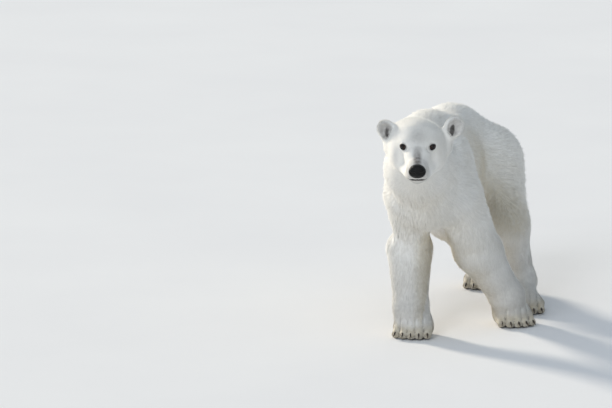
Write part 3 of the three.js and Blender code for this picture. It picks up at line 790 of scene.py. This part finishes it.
p = corners_of(skin.data)
out = smooth_normals(skin.data)
leg_index, leg_reach = nearest_leg(p)
q, h = head_measures(p)
to_rim = slit_gap(p)
cream, grey, bare = markings(p, out, to_rim)
length, breadth, crowd = tuft_sizes(p, out, to_rim)
socket = np.min([np.linalg.norm(p - centre, axis=1) for centre in EYES.values()], axis=0) < EYE_RADIUS + 2
hairless = (to_rim < BARE_LID) | socket | (mouth_distance(h) < BARE_LIP) | (nose_blank(h) < BARE_NOSE)
hairless |= (p[:, 2] < BARE_SOLE) | ((p[:, 2] < 3 * BARE_SOLE) & (out[:, 2] < -0.5))
crowd = np.where(hairless, 0, crowd) * (1 - 0.7 * ramp(ear_slot(q, h), 3, -4))
lie = lie_of_coat(p, out, leg_index)
print("tuft lengths", length.min().round(1), "to", length.max().round(1), "mm")


def store(mesh, name, values, domain="POINT"):
    values = np.asarray(values, np.float32)
    kind = {1: "FLOAT", 2: "FLOAT_VECTOR"}[values.ndim]
    attribute = mesh.attributes.new(name, kind, domain)
    attribute.data.foreach_set("value" if values.ndim == 1 else "vector", values.ravel())


for name, values in (("length", length * MM), ("breadth", breadth * MM), ("crowd", crowd), ("lie", lie),
                     ("out", out), ("cream", cream), ("grey", grey), ("bare", bare)):
    store(skin.data, name, values)

# %% [markdown]
# ## Dividing the coat into pieces
# One mesh of all the tufts would be unwieldy, so the coat is made as a furrier cuts a pelt: two
# pieces each for the face, the crown and the back, one each for the neck and the rump, and an
# upper and a lower one for each leg.

# %% Pelts
faces_of = numbers_of(skin.data.polygons, np.int32, "loop_start")
loops = numbers_of(skin.data.loops, np.int32, "vertex_index")
area = numbers_of(skin.data.polygons, np.float32, "area")
first = loops[faces_of]
fp = p[first]
fq, fh = head_measures(fp)
face_crowd = np.add.reduceat(crowd[loops], faces_of) / np.diff(np.append(faces_of, len(loops)))

HEAD_BACK, FACE_BACK = -205, 5       # along the head, from between the eyes
HEAD_LOW, LEG_TOP, LOWER_LEG = 800, 420, 280     # heights above the ground
NECK_END, RUMP_START = 130, 640      # along the body
on_leg = (leg_reach[first] < torso_outline(fp, True)) | (fp[:, 2] < LEG_TOP)
is_head = (fh[:, 1] > HEAD_BACK) & (fp[:, 2] > HEAD_LOW)
PELTS = {
    "coat_face_left": is_head & (fh[:, 1] > FACE_BACK) & (fq[:, 0] >= 0),
    "coat_face_right": is_head & (fh[:, 1] > FACE_BACK) & (fq[:, 0] < 0),
    "coat_crown_left": is_head & (fq[:, 0] >= 0),
    "coat_crown_right": is_head & (fq[:, 0] < 0),
    **{f"coat_{name}_{part}": on_leg & (leg_index[first] == i) & (fp[:, 2] < top)
       for part, top in (("lower", LOWER_LEG), ("upper", math.inf)) for i, name in enumerate(LEGS)},
    "coat_neck": fp[:, 1] < NECK_END,
    "coat_back_left": (fp[:, 0] > MIDDLE) & (fp[:, 1] < RUMP_START),
    "coat_back_right": (fp[:, 0] <= MIDDLE) & (fp[:, 1] < RUMP_START),
    "coat_rump": fp[:, 1] >= RUMP_START,
}
pelt = np.full(len(fp), -1)
for i, chosen in enumerate(PELTS.values()):
    pelt[(pelt < 0) & chosen] = i
attribute = skin.data.attributes.new("pelt", "INT", "FACE")
attribute.data.foreach_set("value", pelt)
tufts = area * face_crowd * MM * MM
for i, name in enumerate(PELTS):
    mine = pelt == i
    print(name, "skin", (area[mine].sum() * MM * MM).round(3), "m2, tufts about", int(tufts[mine].sum()))
print("all tufts about", int(tufts.sum()), "over", (area.sum() * MM * MM).round(2), "m2")

# %% [markdown]
# ## Unwrapping the skin
# Each tuft must know which spot of the skin it grows from, so that its colour can be kept on
# a map. The skin is laid flat here in patches by the way they face, as a hide is cut and
# spread, and each tuft later takes the spot of its root.

# %% Unwrap
place_corners(skin.data, to_frame(p))
shade_smooth(skin.data)
skin.data.uv_layers.new(name="hide")
bpy.context.view_layer.objects.active = skin
skin.select_set(True)
bpy.ops.object.mode_set(mode="EDIT")
bpy.ops.mesh.select_all(action="SELECT")
bpy.ops.uv.smart_project(angle_limit=math.radians(66), island_margin=0.003)
bpy.ops.object.mode_set(mode="OBJECT")
spots = numbers_of(skin.data.uv_layers["hide"].uv, np.float32, "vector", 2)
print("hide map from", spots.min().round(3), "to", spots.max().round(3))

# %% [markdown]
# ## Colours of the coat
# A polar bear's hair is clear and its skin is black. The coat is white where it is thick,
# turns cream where it is worn or yellowed, on the insides of the legs and underneath, and goes
# grey where it is so short that the skin shows through, as on the bridge of the nose. Some of
# the cream and grey is painted shade: cream over the shaded hollow of the flank behind the
# shoulder, and grey on the bridge and the muzzle, between and above the eyes, in the groove
# from each eye down the muzzle and in the creases of the toes. One group of nodes mixes
# these from the markings, so the skin and the tufts always agree.

# %% Node helpers


def add(tree, kind, inputs=None, **settings):
    """Adds a node, with its settings and with values or links for its inputs."""
    made = tree.nodes.new(kind)
    for key, value in settings.items():
        setattr(made, key, value)
    for key, value in (inputs or {}).items():
        if isinstance(value, bpy.types.NodeSocket):
            tree.links.new(value, made.inputs[key])
        else:
            made.inputs[key].default_value = value
    return made


def attribute(tree, name):
    return add(tree, "ShaderNodeAttribute", attribute_name=name).outputs["Fac"]


def blend_colours(tree, share, first, second):
    made = add(tree, "ShaderNodeMix", {0: share, 6: first, 7: second}, data_type="RGBA")
    return made.outputs[2]


def maths(tree, operation, a, b=0.0):
    return add(tree, "ShaderNodeMath", {0: a, 1: b}, operation=operation).outputs[0]


def noise(tree, scale, detail=3.0, stretch=None, roughness=0.5):
    """Noise in the piece's own metres, from 0 to 1."""
    place = add(tree, "ShaderNodeTexCoord").outputs["Object"]
    if stretch:
        place = add(tree, "ShaderNodeMapping", {"Vector": place, "Scale": stretch}).outputs[0]
    made = add(tree, "ShaderNodeTexNoise", {"Vector": place, "Scale": scale, "Detail": detail,
                                            "Roughness": roughness})
    return made.outputs["Fac"]


def spread(tree, value, low, high, to_low=0.0, to_high=1.0):
    """Maps low..high to to_low..to_high, and no further."""
    made = add(tree, "ShaderNodeMapRange", {0: value, 1: low, 2: high, 3: to_low, 4: to_high})
    return made.outputs[0]


def new_material(name, **sockets):
    made = bpy.data.materials.new(name)
    made.use_nodes = True
    shader = made.node_tree.nodes["Principled BSDF"]
    for socket, value in sockets.items():
        shader.inputs[socket.replace("_", " ")].default_value = value
    return made, made.node_tree, shader


# %% Markings of skin and coat
WHITE = (0.90, 0.885, 0.845, 1)
SHADED_WHITE = (0.85, 0.825, 0.77, 1)
CREAM = (0.68, 0.61, 0.47, 1)
GREY = (0.20, 0.18, 0.165, 1)
BLACK_SKIN = (0.014, 0.012, 0.011, 1)


def make_markings():
    group = bpy.data.node_groups.new("coat markings", "ShaderNodeTree")
    group.interface.new_socket("Colour", in_out="OUTPUT", socket_type="NodeSocketColor")
    patches = spread(group, noise(group, 5.0), 0.35, 0.7)
    fine = spread(group, noise(group, 60.0, 2.0), 0.3, 0.7, 0.75, 1.15)
    colour = blend_colours(group, patches, WHITE, SHADED_WHITE)
    cream = maths(group, "MULTIPLY", attribute(group, "cream"), fine)
    colour = blend_colours(group, cream, colour, CREAM)
    grey = maths(group, "MULTIPLY", attribute(group, "grey"), fine)
    colour = blend_colours(group, grey, colour, GREY)
    bare = spread(group, attribute(group, "bare"), 0.15, 0.75)
    colour = blend_colours(group, bare, colour, BLACK_SKIN)
    add(group, "NodeGroupOutput", {"Colour": colour})
    return group


MARKINGS = make_markings()


def markings_colour(tree):
    made = tree.nodes.new("ShaderNodeGroup")
    made.node_tree = MARKINGS
    return made.outputs["Colour"]


# %% Material of the skin
skin_material, tree, shader = new_material(
    "bear skin", Roughness=0.62, Specular_IOR_Level=0.2)
tree.links.new(markings_colour(tree), shader.inputs["Base Color"])
hairs = noise(tree, 260.0, 4.0, roughness=0.7)
bump = add(tree, "ShaderNodeBump", {"Height": hairs, "Strength": 0.5, "Distance": 0.0015})
tree.links.new(bump.outputs["Normal"], shader.inputs["Normal"])
skin.data.materials.append(skin_material)

# %% Material of the coat
coat_material, tree, shader = new_material(
    "bear coat", Roughness=0.75, Specular_IOR_Level=0.25, Sheen_Weight=0.12, Sheen_Roughness=0.4)
along = attribute(tree, "along")
root_shade = spread(tree, along, 0.0, 0.5, 0.96, 1.0)
tint = attribute(tree, "tint")
shade = maths(tree, "MULTIPLY", root_shade, spread(tree, tint, 0.0, 1.0, 0.95, 1.03))
grown = add(tree, "ShaderNodeVectorMath", {0: markings_colour(tree), 3: shade}, operation="SCALE")
tree.links.new(grown.outputs[0], shader.inputs["Base Color"])
print("materials", [m.name for m in bpy.data.materials if m.name.startswith("bear")])

# %% [markdown]
# ## One tuft
# A tuft is a lock of some dozens of hairs that hold together. Modelled hair by hair it would
# never end. A thin closed blade with six faces is enough: it widens from a point at the root,
# has a low ridge on top and runs out to a point again.

# %% Shape of a tuft
WIDEST = 0.38                        # of the length, where a tuft is broadest
RIDGE = 0.2                          # its height there, as a share of its breadth


def make_tuft():
    points = [(0, 0, 0), (0.05, -0.5, WIDEST), (0.05, 0.5, WIDEST), (RIDGE, 0, WIDEST), (0, 0, 1)]
    sides = [(0, 3, 1), (0, 2, 3), (0, 1, 2), (4, 1, 3), (4, 3, 2), (4, 2, 1)]
    mesh = bpy.data.meshes.new("tuft")
    mesh.from_pydata(points, [], sides)
    face_outwards(mesh)
    shade_smooth(mesh)
    own = mesh.uv_layers.new(name="blade")
    for loop in mesh.loops:
        place = mesh.vertices[loop.vertex_index].co
        own.uv[loop.index].vector = (0.5 + 0.9 * place.y, place.z)
    store(mesh, "along", [place[2] for place in points])
    return bpy.data.objects.new("tuft", mesh)


tuft = make_tuft()
print("tuft", len(tuft.data.polygons), "faces")

# %% [markdown]
# ## Growing the coat
# Geometry Nodes strew roots over one pelt at a time, as thickly as the skin says. Each root
# gets a tuft laid along the lie of the coat, raised a little, and swayed: a slow sway that
# neighbours share parts the coat into locks, and a small one of its own keeps it from looking
# combed. The tufts are then made real, so that each piece of the coat is a plain mesh rather
# than a set of instances. The tufts are then made real, because a copy that is only an
# instance would be lost when the bear is handed on.

# %% The grower
PATCH = 0.003                        # of the hide map, taken by one tuft


def make_grower():
    tree = bpy.data.node_groups.new("grow coat", "GeometryNodeTree")
    face = tree.interface
    face.new_socket("Skin", in_out="INPUT", socket_type="NodeSocketGeometry")
    for name, kind, value in (
            ("Tuft", "Object", None), ("Finish", "Material", None), ("Pelt", "Int", 0), ("Seed", "Int", 0),
            ("Lift", "Float", LIFT), ("Lock size", "Float", 0.035), ("Lock sway", "Float", 0.2),
            ("Own sway", "Float", 0.12), ("Root depth", "Float", 0.001)):
        socket = face.new_socket(name, in_out="INPUT", socket_type="NodeSocket" + kind)
        if value is not None:
            socket.default_value = value
    face.new_socket("Coat", in_out="OUTPUT", socket_type="NodeSocketGeometry")
    given = tree.nodes.new("NodeGroupInput").outputs

    def named(name, kind="FLOAT"):
        made = add(tree, "GeometryNodeInputNamedAttribute", {"Name": name}, data_type=kind)
        return made.outputs["Attribute"]

    def vector(operation, a, b=None, scale=None):
        inputs = {0: a}
        if b is not None:
            inputs[1] = b
        if scale is not None:
            inputs["Scale"] = scale
        made = add(tree, "ShaderNodeVectorMath", inputs, operation=operation)
        return made.outputs["Vector"]

    def number(operation, a, b=0.0):
        return add(tree, "ShaderNodeMath", {0: a, 1: b}, operation=operation).outputs[0]

    def chance(low, high, step, vectors=False):
        """A random value for each root; each step of the seed gives another one."""
        seed = number("ADD", given["Seed"], step)
        kind = "FLOAT_VECTOR" if vectors else "FLOAT"
        made = tree.nodes.new("FunctionNodeRandomValue")
        made.data_type = kind
        low_socket, high_socket = [s for s in made.inputs if s.enabled][:2]
        low_socket.default_value, high_socket.default_value = low, high
        tree.links.new(seed, made.inputs["Seed"])
        return [s for s in made.outputs if s.enabled][0]

    mine = add(tree, "FunctionNodeCompare", {2: named("pelt", "INT"), 3: given["Pelt"]},
               data_type="INT", operation="EQUAL")
    pelt_only = add(tree, "GeometryNodeSeparateGeometry",
                    {"Geometry": given["Skin"], "Selection": mine.outputs[0]}, domain="FACE")
    roots = add(tree, "GeometryNodeDistributePointsOnFaces",
                {"Mesh": pelt_only.outputs["Selection"], "Density": named("crowd"), "Seed": given["Seed"]},
                distribute_method="RANDOM")

    out_way, lie_way = named("out", "FLOAT_VECTOR"), named("lie", "FLOAT_VECTOR")
    place = tree.nodes.new("GeometryNodeInputPosition").outputs[0]
    per_metre = number("DIVIDE", 1.0, given["Lock size"])
    slow = add(tree, "ShaderNodeTexNoise", {"Vector": place, "Scale": per_metre, "Detail": 2.0})
    slow_sway = vector("SCALE", vector("SUBTRACT", slow.outputs["Color"], (0.5, 0.5, 0.5)),
                       scale=number("MULTIPLY", given["Lock sway"], 4.0))
    own_sway = vector("SCALE", chance((-1, -1, -1), (1, 1, 1), 1, vectors=True), scale=given["Own sway"])
    swayed = vector("NORMALIZE", vector("ADD", vector("ADD", lie_way, slow_sway), own_sway))
    level = vector("SUBTRACT", swayed, vector("SCALE", out_way, scale=add(
        tree, "ShaderNodeVectorMath", {0: swayed, 1: out_way}, operation="DOT_PRODUCT").outputs["Value"]))
    stray = number("POWER", chance(0.0, 1.0, 2), 4.0)
    lift = number("MULTIPLY", given["Lift"], number("ADD", 0.75, number("MULTIPLY", stray, 1.6)))
    way = vector("ADD", vector("SCALE", vector("NORMALIZE", level), scale=number("COSINE", lift)),
                 vector("SCALE", out_way, scale=number("SINE", lift)))
    turn = add(tree, "FunctionNodeAxesToRotation", {"Primary Axis": way, "Secondary Axis": out_way},
               primary_axis="Z", secondary_axis="X")
    long = number("MULTIPLY", named("length"), chance(0.72, 1.18, 3))
    broad = number("MULTIPLY", named("breadth"), chance(0.8, 1.2, 4))
    size = add(tree, "ShaderNodeCombineXYZ", {"X": broad, "Y": broad, "Z": long})

    sunk = add(tree, "GeometryNodeSetPosition", {
        "Geometry": roots.outputs["Points"],
        "Offset": vector("SCALE", out_way, scale=number("MULTIPLY", given["Root depth"], -1.0))})
    tinted = add(tree, "GeometryNodeStoreNamedAttribute",
                 {"Geometry": sunk.outputs[0], "Name": "tint", "Value": chance(0.0, 1.0, 5)},
                 data_type="FLOAT", domain="POINT")
    blade = add(tree, "GeometryNodeObjectInfo", {"Object": given["Tuft"]})
    planted = add(tree, "GeometryNodeInstanceOnPoints", {
        "Points": tinted.outputs[0], "Instance": blade.outputs["Geometry"],
        "Rotation": turn.outputs[0], "Scale": size.outputs[0]})
    real = add(tree, "GeometryNodeRealizeInstances", {"Geometry": planted.outputs[0]})
    spot = vector("SCALE", named("hide", "FLOAT_VECTOR"), scale=1 - 2 * PATCH)
    spot = vector("ADD", spot, (PATCH, PATCH, 0))
    within = vector("SCALE", vector("SUBTRACT", named("blade", "FLOAT_VECTOR"), (0.5, 0.5, 0)), scale=PATCH)
    mapped = add(tree, "GeometryNodeStoreNamedAttribute",
                 {"Geometry": real.outputs[0], "Name": "OFBake", "Value": vector("ADD", spot, within)},
                 data_type="FLOAT2", domain="CORNER")
    done = add(tree, "GeometryNodeSetMaterial",
               {"Geometry": mapped.outputs[0], "Material": given["Finish"]})
    add(tree, "NodeGroupOutput", {0: done.outputs[0]})
    return tree


GROWER = make_grower()
SOCKETS = {item.name: item.identifier for item in GROWER.interface.items_tree if item.in_out == "INPUT"}
KEPT = {"position", "along", "tint", "cream", "grey", "bare", "OFBake", "material_index", "sharp_face"}
FIRST_SEED = 31

# %% One pelt's coat
SOFTNESS = 0.75                      # how far a tuft is shaded as the skin under it is
FACING = 0.15                        # but each face is still shaded from its own side


def soft_normals(mesh):
    """A direction for each corner of each face, which shades a tuft nearly as the skin under it."""
    skin_out = numbers_of(mesh.attributes["out"].data, np.float32, "vector", 3)
    soft = unit(toward(np.full(len(mesh.vertices), SOFTNESS), smooth_normals(mesh), skin_out))
    soft = soft[numbers_of(mesh.loops, np.int32, "vertex_index")]
    facing = np.repeat(numbers_of(mesh.polygons, np.float32, "normal", 3), 3, axis=0)
    lack = np.maximum(FACING - (soft * facing).sum(1, keepdims=True), 0)
    return unit(soft + lack * facing)


def grow(name, pelt_number):
    """One piece of the coat as a plain mesh."""
    field = bpy.data.objects.new(name, skin.data)
    bpy.context.scene.collection.objects.link(field)
    modifier = field.modifiers.new("coat", "NODES")
    modifier.node_group = GROWER
    for key, value in (("Tuft", tuft), ("Finish", coat_material), ("Pelt", pelt_number),
                       ("Seed", FIRST_SEED + pelt_number)):
        modifier[SOCKETS[key]] = value
    graph = bpy.context.evaluated_depsgraph_get()
    mesh = bpy.data.meshes.new_from_object(field.evaluated_get(graph), preserve_all_data_layers=True,
                                           depsgraph=graph)
    field.modifiers.clear()
    field.data = mesh
    mesh.name = name
    soft = soft_normals(mesh)
    for extra in [a.name for a in mesh.attributes if a.name not in KEPT and not a.name.startswith(".")]:
        mesh.attributes.remove(mesh.attributes[extra])
    mesh.normals_split_custom_set(soft)
    return field


# %% Grow every pelt
coats = [grow(name, i) for i, name in enumerate(PELTS)]
for piece in coats:
    print(piece.name, len(piece.data.polygons), "triangles", [layer.name for layer in piece.data.uv_layers])
print("coat in all", sum(len(piece.data.polygons) for piece in coats), "triangles")

# %% [markdown]
# ## Eyes
# A bear's eye shows hardly any white: a dark brown iris round a black pupil, all under the
# clear dome of the cornea. It is a ball of rings round the gaze, a little raised in front, and
# each corner knows its angle from the gaze in degrees, so that pupil and iris can be coloured
# by it.

# %% Eyeballs
CORNEA_RISE = 1.1                    # millimetres, in front of the ball
CORNEA_WIDTH = math.radians(24)
RINGS, SPOKES = 40, 48


def make_eye(side):
    angles = np.linspace(0, np.pi, RINGS + 1)[1:-1]
    turns = np.arange(SPOKES) * 2 * np.pi / SPOKES
    radius = EYE_RADIUS + CORNEA_RISE * np.exp(-(angles / CORNEA_WIDTH) ** 4)
    ring = np.stack([np.outer(radius * np.sin(angles), np.cos(turns)),
                     np.outer(radius * np.cos(angles), np.ones(SPOKES)),
                     np.outer(radius * np.sin(angles), np.sin(turns))], -1).reshape(-1, 3)
    places = np.concatenate([ring, [(0, EYE_RADIUS + CORNEA_RISE, 0), (0, -EYE_RADIUS, 0)]])
    front, back = len(ring), len(ring) + 1
    faces = []
    for i in range(SPOKES):
        j = (i + 1) % SPOKES
        faces.append((front, j, i))
        faces.append((back, (RINGS - 2) * SPOKES + i, (RINGS - 2) * SPOKES + j))
        faces += [(k * SPOKES + i, k * SPOKES + j, (k + 1) * SPOKES + j, (k + 1) * SPOKES + i)
                  for k in range(RINGS - 2)]
    piece = make_object("eyeball_" + side, to_frame(EYES[side] + places @ eye_axes(side)), faces)
    face_outwards(piece.data)
    shade_smooth(piece.data)
    aside = np.hypot(places[:, 0], places[:, 2])
    store(piece.data, "from_gaze", np.degrees(np.arctan2(aside, places[:, 1])))
    store(piece.data, "own_place", places / EYE_RADIUS)
    return piece


# %% Material of the eyes
PUPIL = (0.002, 0.002, 0.002, 1)
DARK_IRIS, IRIS = (0.008, 0.004, 0.003, 1), (0.020, 0.010, 0.006, 1)
IRIS_RIM = (0.006, 0.004, 0.004, 1)
VEINS, EYE_WHITE = (0.10, 0.055, 0.04, 1), (0.16, 0.10, 0.08, 1)
eye_material, tree, shader = new_material("bear eye", Roughness=0.06, Specular_IOR_Level=0.28)
from_gaze = attribute(tree, "from_gaze")
own = add(tree, "ShaderNodeAttribute", attribute_name="own_place").outputs["Vector"]
rays = add(tree, "ShaderNodeTexNoise", {"Vector": own, "Scale": 9.0, "Detail": 4.0}).outputs["Fac"]
iris = blend_colours(tree, spread(tree, rays, 0.35, 0.65), DARK_IRIS, IRIS)
white = blend_colours(tree, spread(tree, rays, 0.4, 0.7), VEINS, EYE_WHITE)
colour = blend_colours(tree, spread(tree, from_gaze, 12.5, 15.0), PUPIL, iris)
colour = blend_colours(tree, spread(tree, from_gaze, 31.0, 36.0), colour, IRIS_RIM)
colour = blend_colours(tree, spread(tree, from_gaze, 40.0, 46.0), colour, white)
tree.links.new(colour, shader.inputs["Base Color"])
eyeballs = {side: make_eye(side) for side in EYES}
for side, piece in eyeballs.items():
    piece.data.materials.append(eye_material)
    print(piece.name, len(piece.data.polygons), "faces")

# %% [markdown]
# ## Nose
# The nose is a bare pad of black leather with comma-shaped nostrils that open to the side and
# a groove down its middle. It is cut with the same tools as the skin, on a much finer grid.
# Its grain is a pattern of small raised cells, as on the real pad.

# %% Nose
NOSE_CELL = 1.7
NOSE_REACH = 56                      # half the box of the grid


def nose_surface(p):
    _, h = head_measures(p)
    pad = nose_blank(h)
    bulb = limb(h, (13, 187, -60), (25, 180, -65), 5, 7.5)
    slit = limb(h, (25, 180, -65), (40, 168, -55), 5.5, 2.4)
    groove = limb(h, (0, 193, -66), (0, 176, -100), 1.0, 2.2)
    pad = carve(4, pad, join(5, bulb, slit))
    return carve(3, pad, groove)


nose_middle = head_place((0, 163, -58))
corners, faces = net(nose_surface, nose_middle - NOSE_REACH, nose_middle + NOSE_REACH, NOSE_CELL)
nose = make_object("nose_pad", to_frame(settle(nose_surface, corners, NOSE_CELL / 3)), faces)
shade_smooth(nose.data)

# %% Leather of the nose
LEATHER, WORN_LEATHER = (0.004, 0.004, 0.004, 1), (0.014, 0.011, 0.010, 1)
nose_material, tree, shader = new_material("nose leather", Roughness=0.42, Specular_IOR_Level=0.2)
place = add(tree, "ShaderNodeTexCoord").outputs["Object"]
cells = add(tree, "ShaderNodeTexVoronoi", {"Vector": place, "Scale": 560.0}, feature="DISTANCE_TO_EDGE")
bump = add(tree, "ShaderNodeBump", {"Height": spread(tree, cells.outputs["Distance"], 0.0, 0.3),
                                    "Strength": 0.6, "Distance": 0.0006})
tree.links.new(bump.outputs["Normal"], shader.inputs["Normal"])
worn = spread(tree, noise(tree, 90.0), 0.4, 0.75)
tree.links.new(blend_colours(tree, worn, LEATHER, WORN_LEATHER), shader.inputs["Base Color"])
tree.links.new(spread(tree, worn, 0.0, 1.0, 0.34, 0.55), shader.inputs["Roughness"])
nose.data.materials.append(nose_material)
print("nose", len(faces), "faces")

# %% [markdown]
# ## Claws
# Each toe ends in one short, thick claw, curved down, nearly black at the root and horn brown
# at the tip. A claw is a stack of oval rings which follow an arc and shrink to a blunt point.
# The five of a paw are one piece.

# %% Claws
CLAW_LENGTH = 50
CLAW_RADIUS = 8.5
CLAW_BEND = 0.85                     # radians from root to tip
CLAW_OVAL = (0.74, 0.98)             # half width and half height, as shares of the radius
CLAW_TAPER = 1.35
LAST_RING = 0.985                    # of the way to the tip
CLAW_SIDES, CLAW_RINGS = 14, 12


def one_claw(root, ahead):
    """Rings of corners round the claw's arc, in millimetres, and the tip last."""
    turns = np.arange(CLAW_SIDES) * 2 * np.pi / CLAW_SIDES
    wide, tall = CLAW_OVAL
    rings = []
    for share in np.linspace(0, LAST_RING, CLAW_RINGS):
        angle = CLAW_BEND * share
        middle_line = np.array((0, math.sin(angle), math.cos(angle) - 1)) * CLAW_LENGTH / CLAW_BEND
        outward = np.array((0, math.sin(angle), math.cos(angle)))
        radius = CLAW_RADIUS * (1 - share ** CLAW_TAPER)
        rings.append(middle_line + radius * (wide * np.outer(np.cos(turns), (1, 0, 0))
                                             + tall * np.outer(np.sin(turns), outward)))
    tip = np.array((0, math.sin(CLAW_BEND), math.cos(CLAW_BEND) - 1)) * CLAW_LENGTH / CLAW_BEND
    places = np.concatenate(rings + [[tip], [(0, 0, 0)]])
    return np.array(root) + places @ axes_along(ahead)


def make_claws(name):
    leg = LEGS[name]
    corners, faces, shares = [], [], []
    for t, _, tip in toe_places(name):
        start = len(corners) * (CLAW_SIDES * CLAW_RINGS + 2)
        root = tip + np.array((0, 3, 8)) @ foot_axes(leg)
        corners.append(one_claw(root, np.array((0.22 * t, 1, 0.05)) @ foot_axes(leg)))
        shares += list(np.repeat(np.linspace(0, LAST_RING, CLAW_RINGS), CLAW_SIDES)) + [1, 0]
        end, base = start + CLAW_SIDES * CLAW_RINGS, start + CLAW_SIDES * CLAW_RINGS + 1
        for i in range(CLAW_SIDES):
            j = (i + 1) % CLAW_SIDES
            last = start + (CLAW_RINGS - 1) * CLAW_SIDES
            faces += [(last + i, last + j, end), (start + j, start + i, base)]
            faces += [(start + k * CLAW_SIDES + i, start + k * CLAW_SIDES + j,
                       start + (k + 1) * CLAW_SIDES + j, start + (k + 1) * CLAW_SIDES + i)
                      for k in range(CLAW_RINGS - 1)]
    piece = make_object("claws_" + name, to_frame(np.concatenate(corners)), faces)
    face_outwards(piece.data)
    shade_smooth(piece.data)
    store(piece.data, "along", shares)
    piece.data.materials.append(claw_material)
    return piece


# %% Horn, and the claws of each paw
DARK_HORN = (0.030, 0.022, 0.017, 1)
HORN = (0.060, 0.044, 0.032, 1)
PALE_HORN = (0.16, 0.12, 0.085, 1)
claw_material, tree, shader = new_material("claw horn", Roughness=0.38)
grain = noise(tree, 420.0, 3.0)
horn = blend_colours(tree, spread(tree, grain, 0.3, 0.7), DARK_HORN, HORN)
near_tip = spread(tree, attribute(tree, "along"), 0.5, 1.0)
tree.links.new(blend_colours(tree, near_tip, horn, PALE_HORN), shader.inputs["Base Color"])
bump = add(tree, "ShaderNodeBump", {"Height": grain, "Strength": 0.3, "Distance": 0.0005})
tree.links.new(bump.outputs["Normal"], shader.inputs["Normal"])
claws = {name: make_claws(name) for name in LEGS}
print("claws", {name: len(piece.data.polygons) for name, piece in claws.items()})

# %% [markdown]
# ## Who stands for what
# Every piece rides on the one body of the frame, since a museum's bear doesn't move. The skin
# stands for all the solids of flesh, and the fine eyes, nose and claws for theirs.

# %% Ride and replace
FLESH = ["head", "neck", "trunk", "tail", "ear_left", "ear_right"]
FORE_PARTS, HIND_PARTS = ("upper_arm", "forearm", "paw"), ("thigh", "shank", "paw")
FLESH += [f"{name}_{part}" for name in LEGS
          for part in (FORE_PARTS if name.startswith("fore") else HIND_PARTS)]
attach(skin, "root")
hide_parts(*FLESH)
for piece in coats:
    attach(piece, "root")
for side, piece in eyeballs.items():
    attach(piece, "root")
    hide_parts("eye_" + side)
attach(nose, "root")
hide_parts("nose")
for name, piece in claws.items():
    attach(piece, "root")
    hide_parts(*[f"{name}_claw_{i}" for i in range(1, 6)])

# %% [markdown]
# ## Floor, light and camera
# A pale floor and plain studio light: a warm lamp low behind the bear's right, which rims its
# outline as an evening sun would, a weak cool one before it, and an even sky for the shaded
# side. The camera looks down a little from far off through a long lens, so that the head isn't
# made larger by being nearer.

# %% Floor
FLOOR_SIZE = 240                     # metres, so that its edge lies far behind the bear
FLOOR_GREY, FLOOR_WHITE = (0.83, 0.83, 0.84, 1), (0.86, 0.86, 0.865, 1)
bpy.ops.mesh.primitive_plane_add(size=FLOOR_SIZE, location=(0, 0, 0))
floor = bpy.context.object
floor.name = "floor"
floor_material, tree, shader = new_material("floor paint", Roughness=0.9)
speckle = spread(tree, noise(tree, 0.8), 0.3, 0.7)
tree.links.new(blend_colours(tree, speckle, FLOOR_GREY, FLOOR_WHITE), shader.inputs["Base Color"])
floor.data.materials.append(floor_material)

# %% Light


def sun(name, toward_bear, colour, strength, spread_angle):
    """A far lamp; its angle in degrees softens the shadows."""
    light = bpy.data.lights.new(name, "SUN")
    light.color = colour
    light.energy = strength
    light.angle = math.radians(spread_angle)
    made = bpy.data.objects.new(name, light)
    made.rotation_mode = "QUATERNION"
    made.rotation_quaternion = Vector(toward_bear).to_track_quat("-Z", "Y")
    bpy.context.scene.collection.objects.link(made)


sun("key", (0.72, -0.50, -0.30), (1.0, 0.91, 0.77), 3.4, 9)
sun("fill", (0.22, 0.80, -0.50), (0.92, 0.95, 1.0), 0.8, 25)
world = bpy.data.worlds.new("studio")
bpy.context.scene.world = world
world.use_nodes = True
world.node_tree.nodes["Background"].inputs["Color"].default_value = (0.80, 0.90, 1.0, 1)
world.node_tree.nodes["Background"].inputs["Strength"].default_value = 0.51
bpy.context.scene.view_settings.view_transform = "Standard"

# %% Camera
TURN = math.radians(13)              # the bear faces this far to its right of the camera
DIP = math.radians(11)               # the camera looks down
DISTANCE = 25.0
PAW_RIGHT, PAW_DOWN = 0.512, 0.668   # the right fore paw, from the middle of the view, in metres
VIEW_WIDTH = 2.985                   # what the view takes in at the bear, in metres
PAW = np.array((-0.124, -0.029, 0.0)) + GROUND

right = Vector((math.cos(TURN), math.sin(TURN), 0))
ahead = Vector((-math.sin(TURN) * math.cos(DIP), math.cos(TURN) * math.cos(DIP), -math.sin(DIP)))
upward = right.cross(ahead)
aim = Vector(PAW) - right * PAW_RIGHT + upward * PAW_DOWN
camera = bpy.data.objects.new("camera", bpy.data.cameras.new("camera"))
bpy.context.scene.collection.objects.link(camera)
camera.data.lens = camera.data.sensor_width * DISTANCE / VIEW_WIDTH
camera.data.clip_end = 300
camera.matrix_world = Matrix.Translation(aim - ahead * DISTANCE) @ Matrix(
    (right, upward, -ahead)).transposed().to_4x4()
bpy.context.scene.camera = camera
print("lens", round(camera.data.lens, 1), "mm, camera at", [round(v, 2) for v in camera.location])

# %% Remove the spare tuft
bpy.data.objects.remove(tuft)
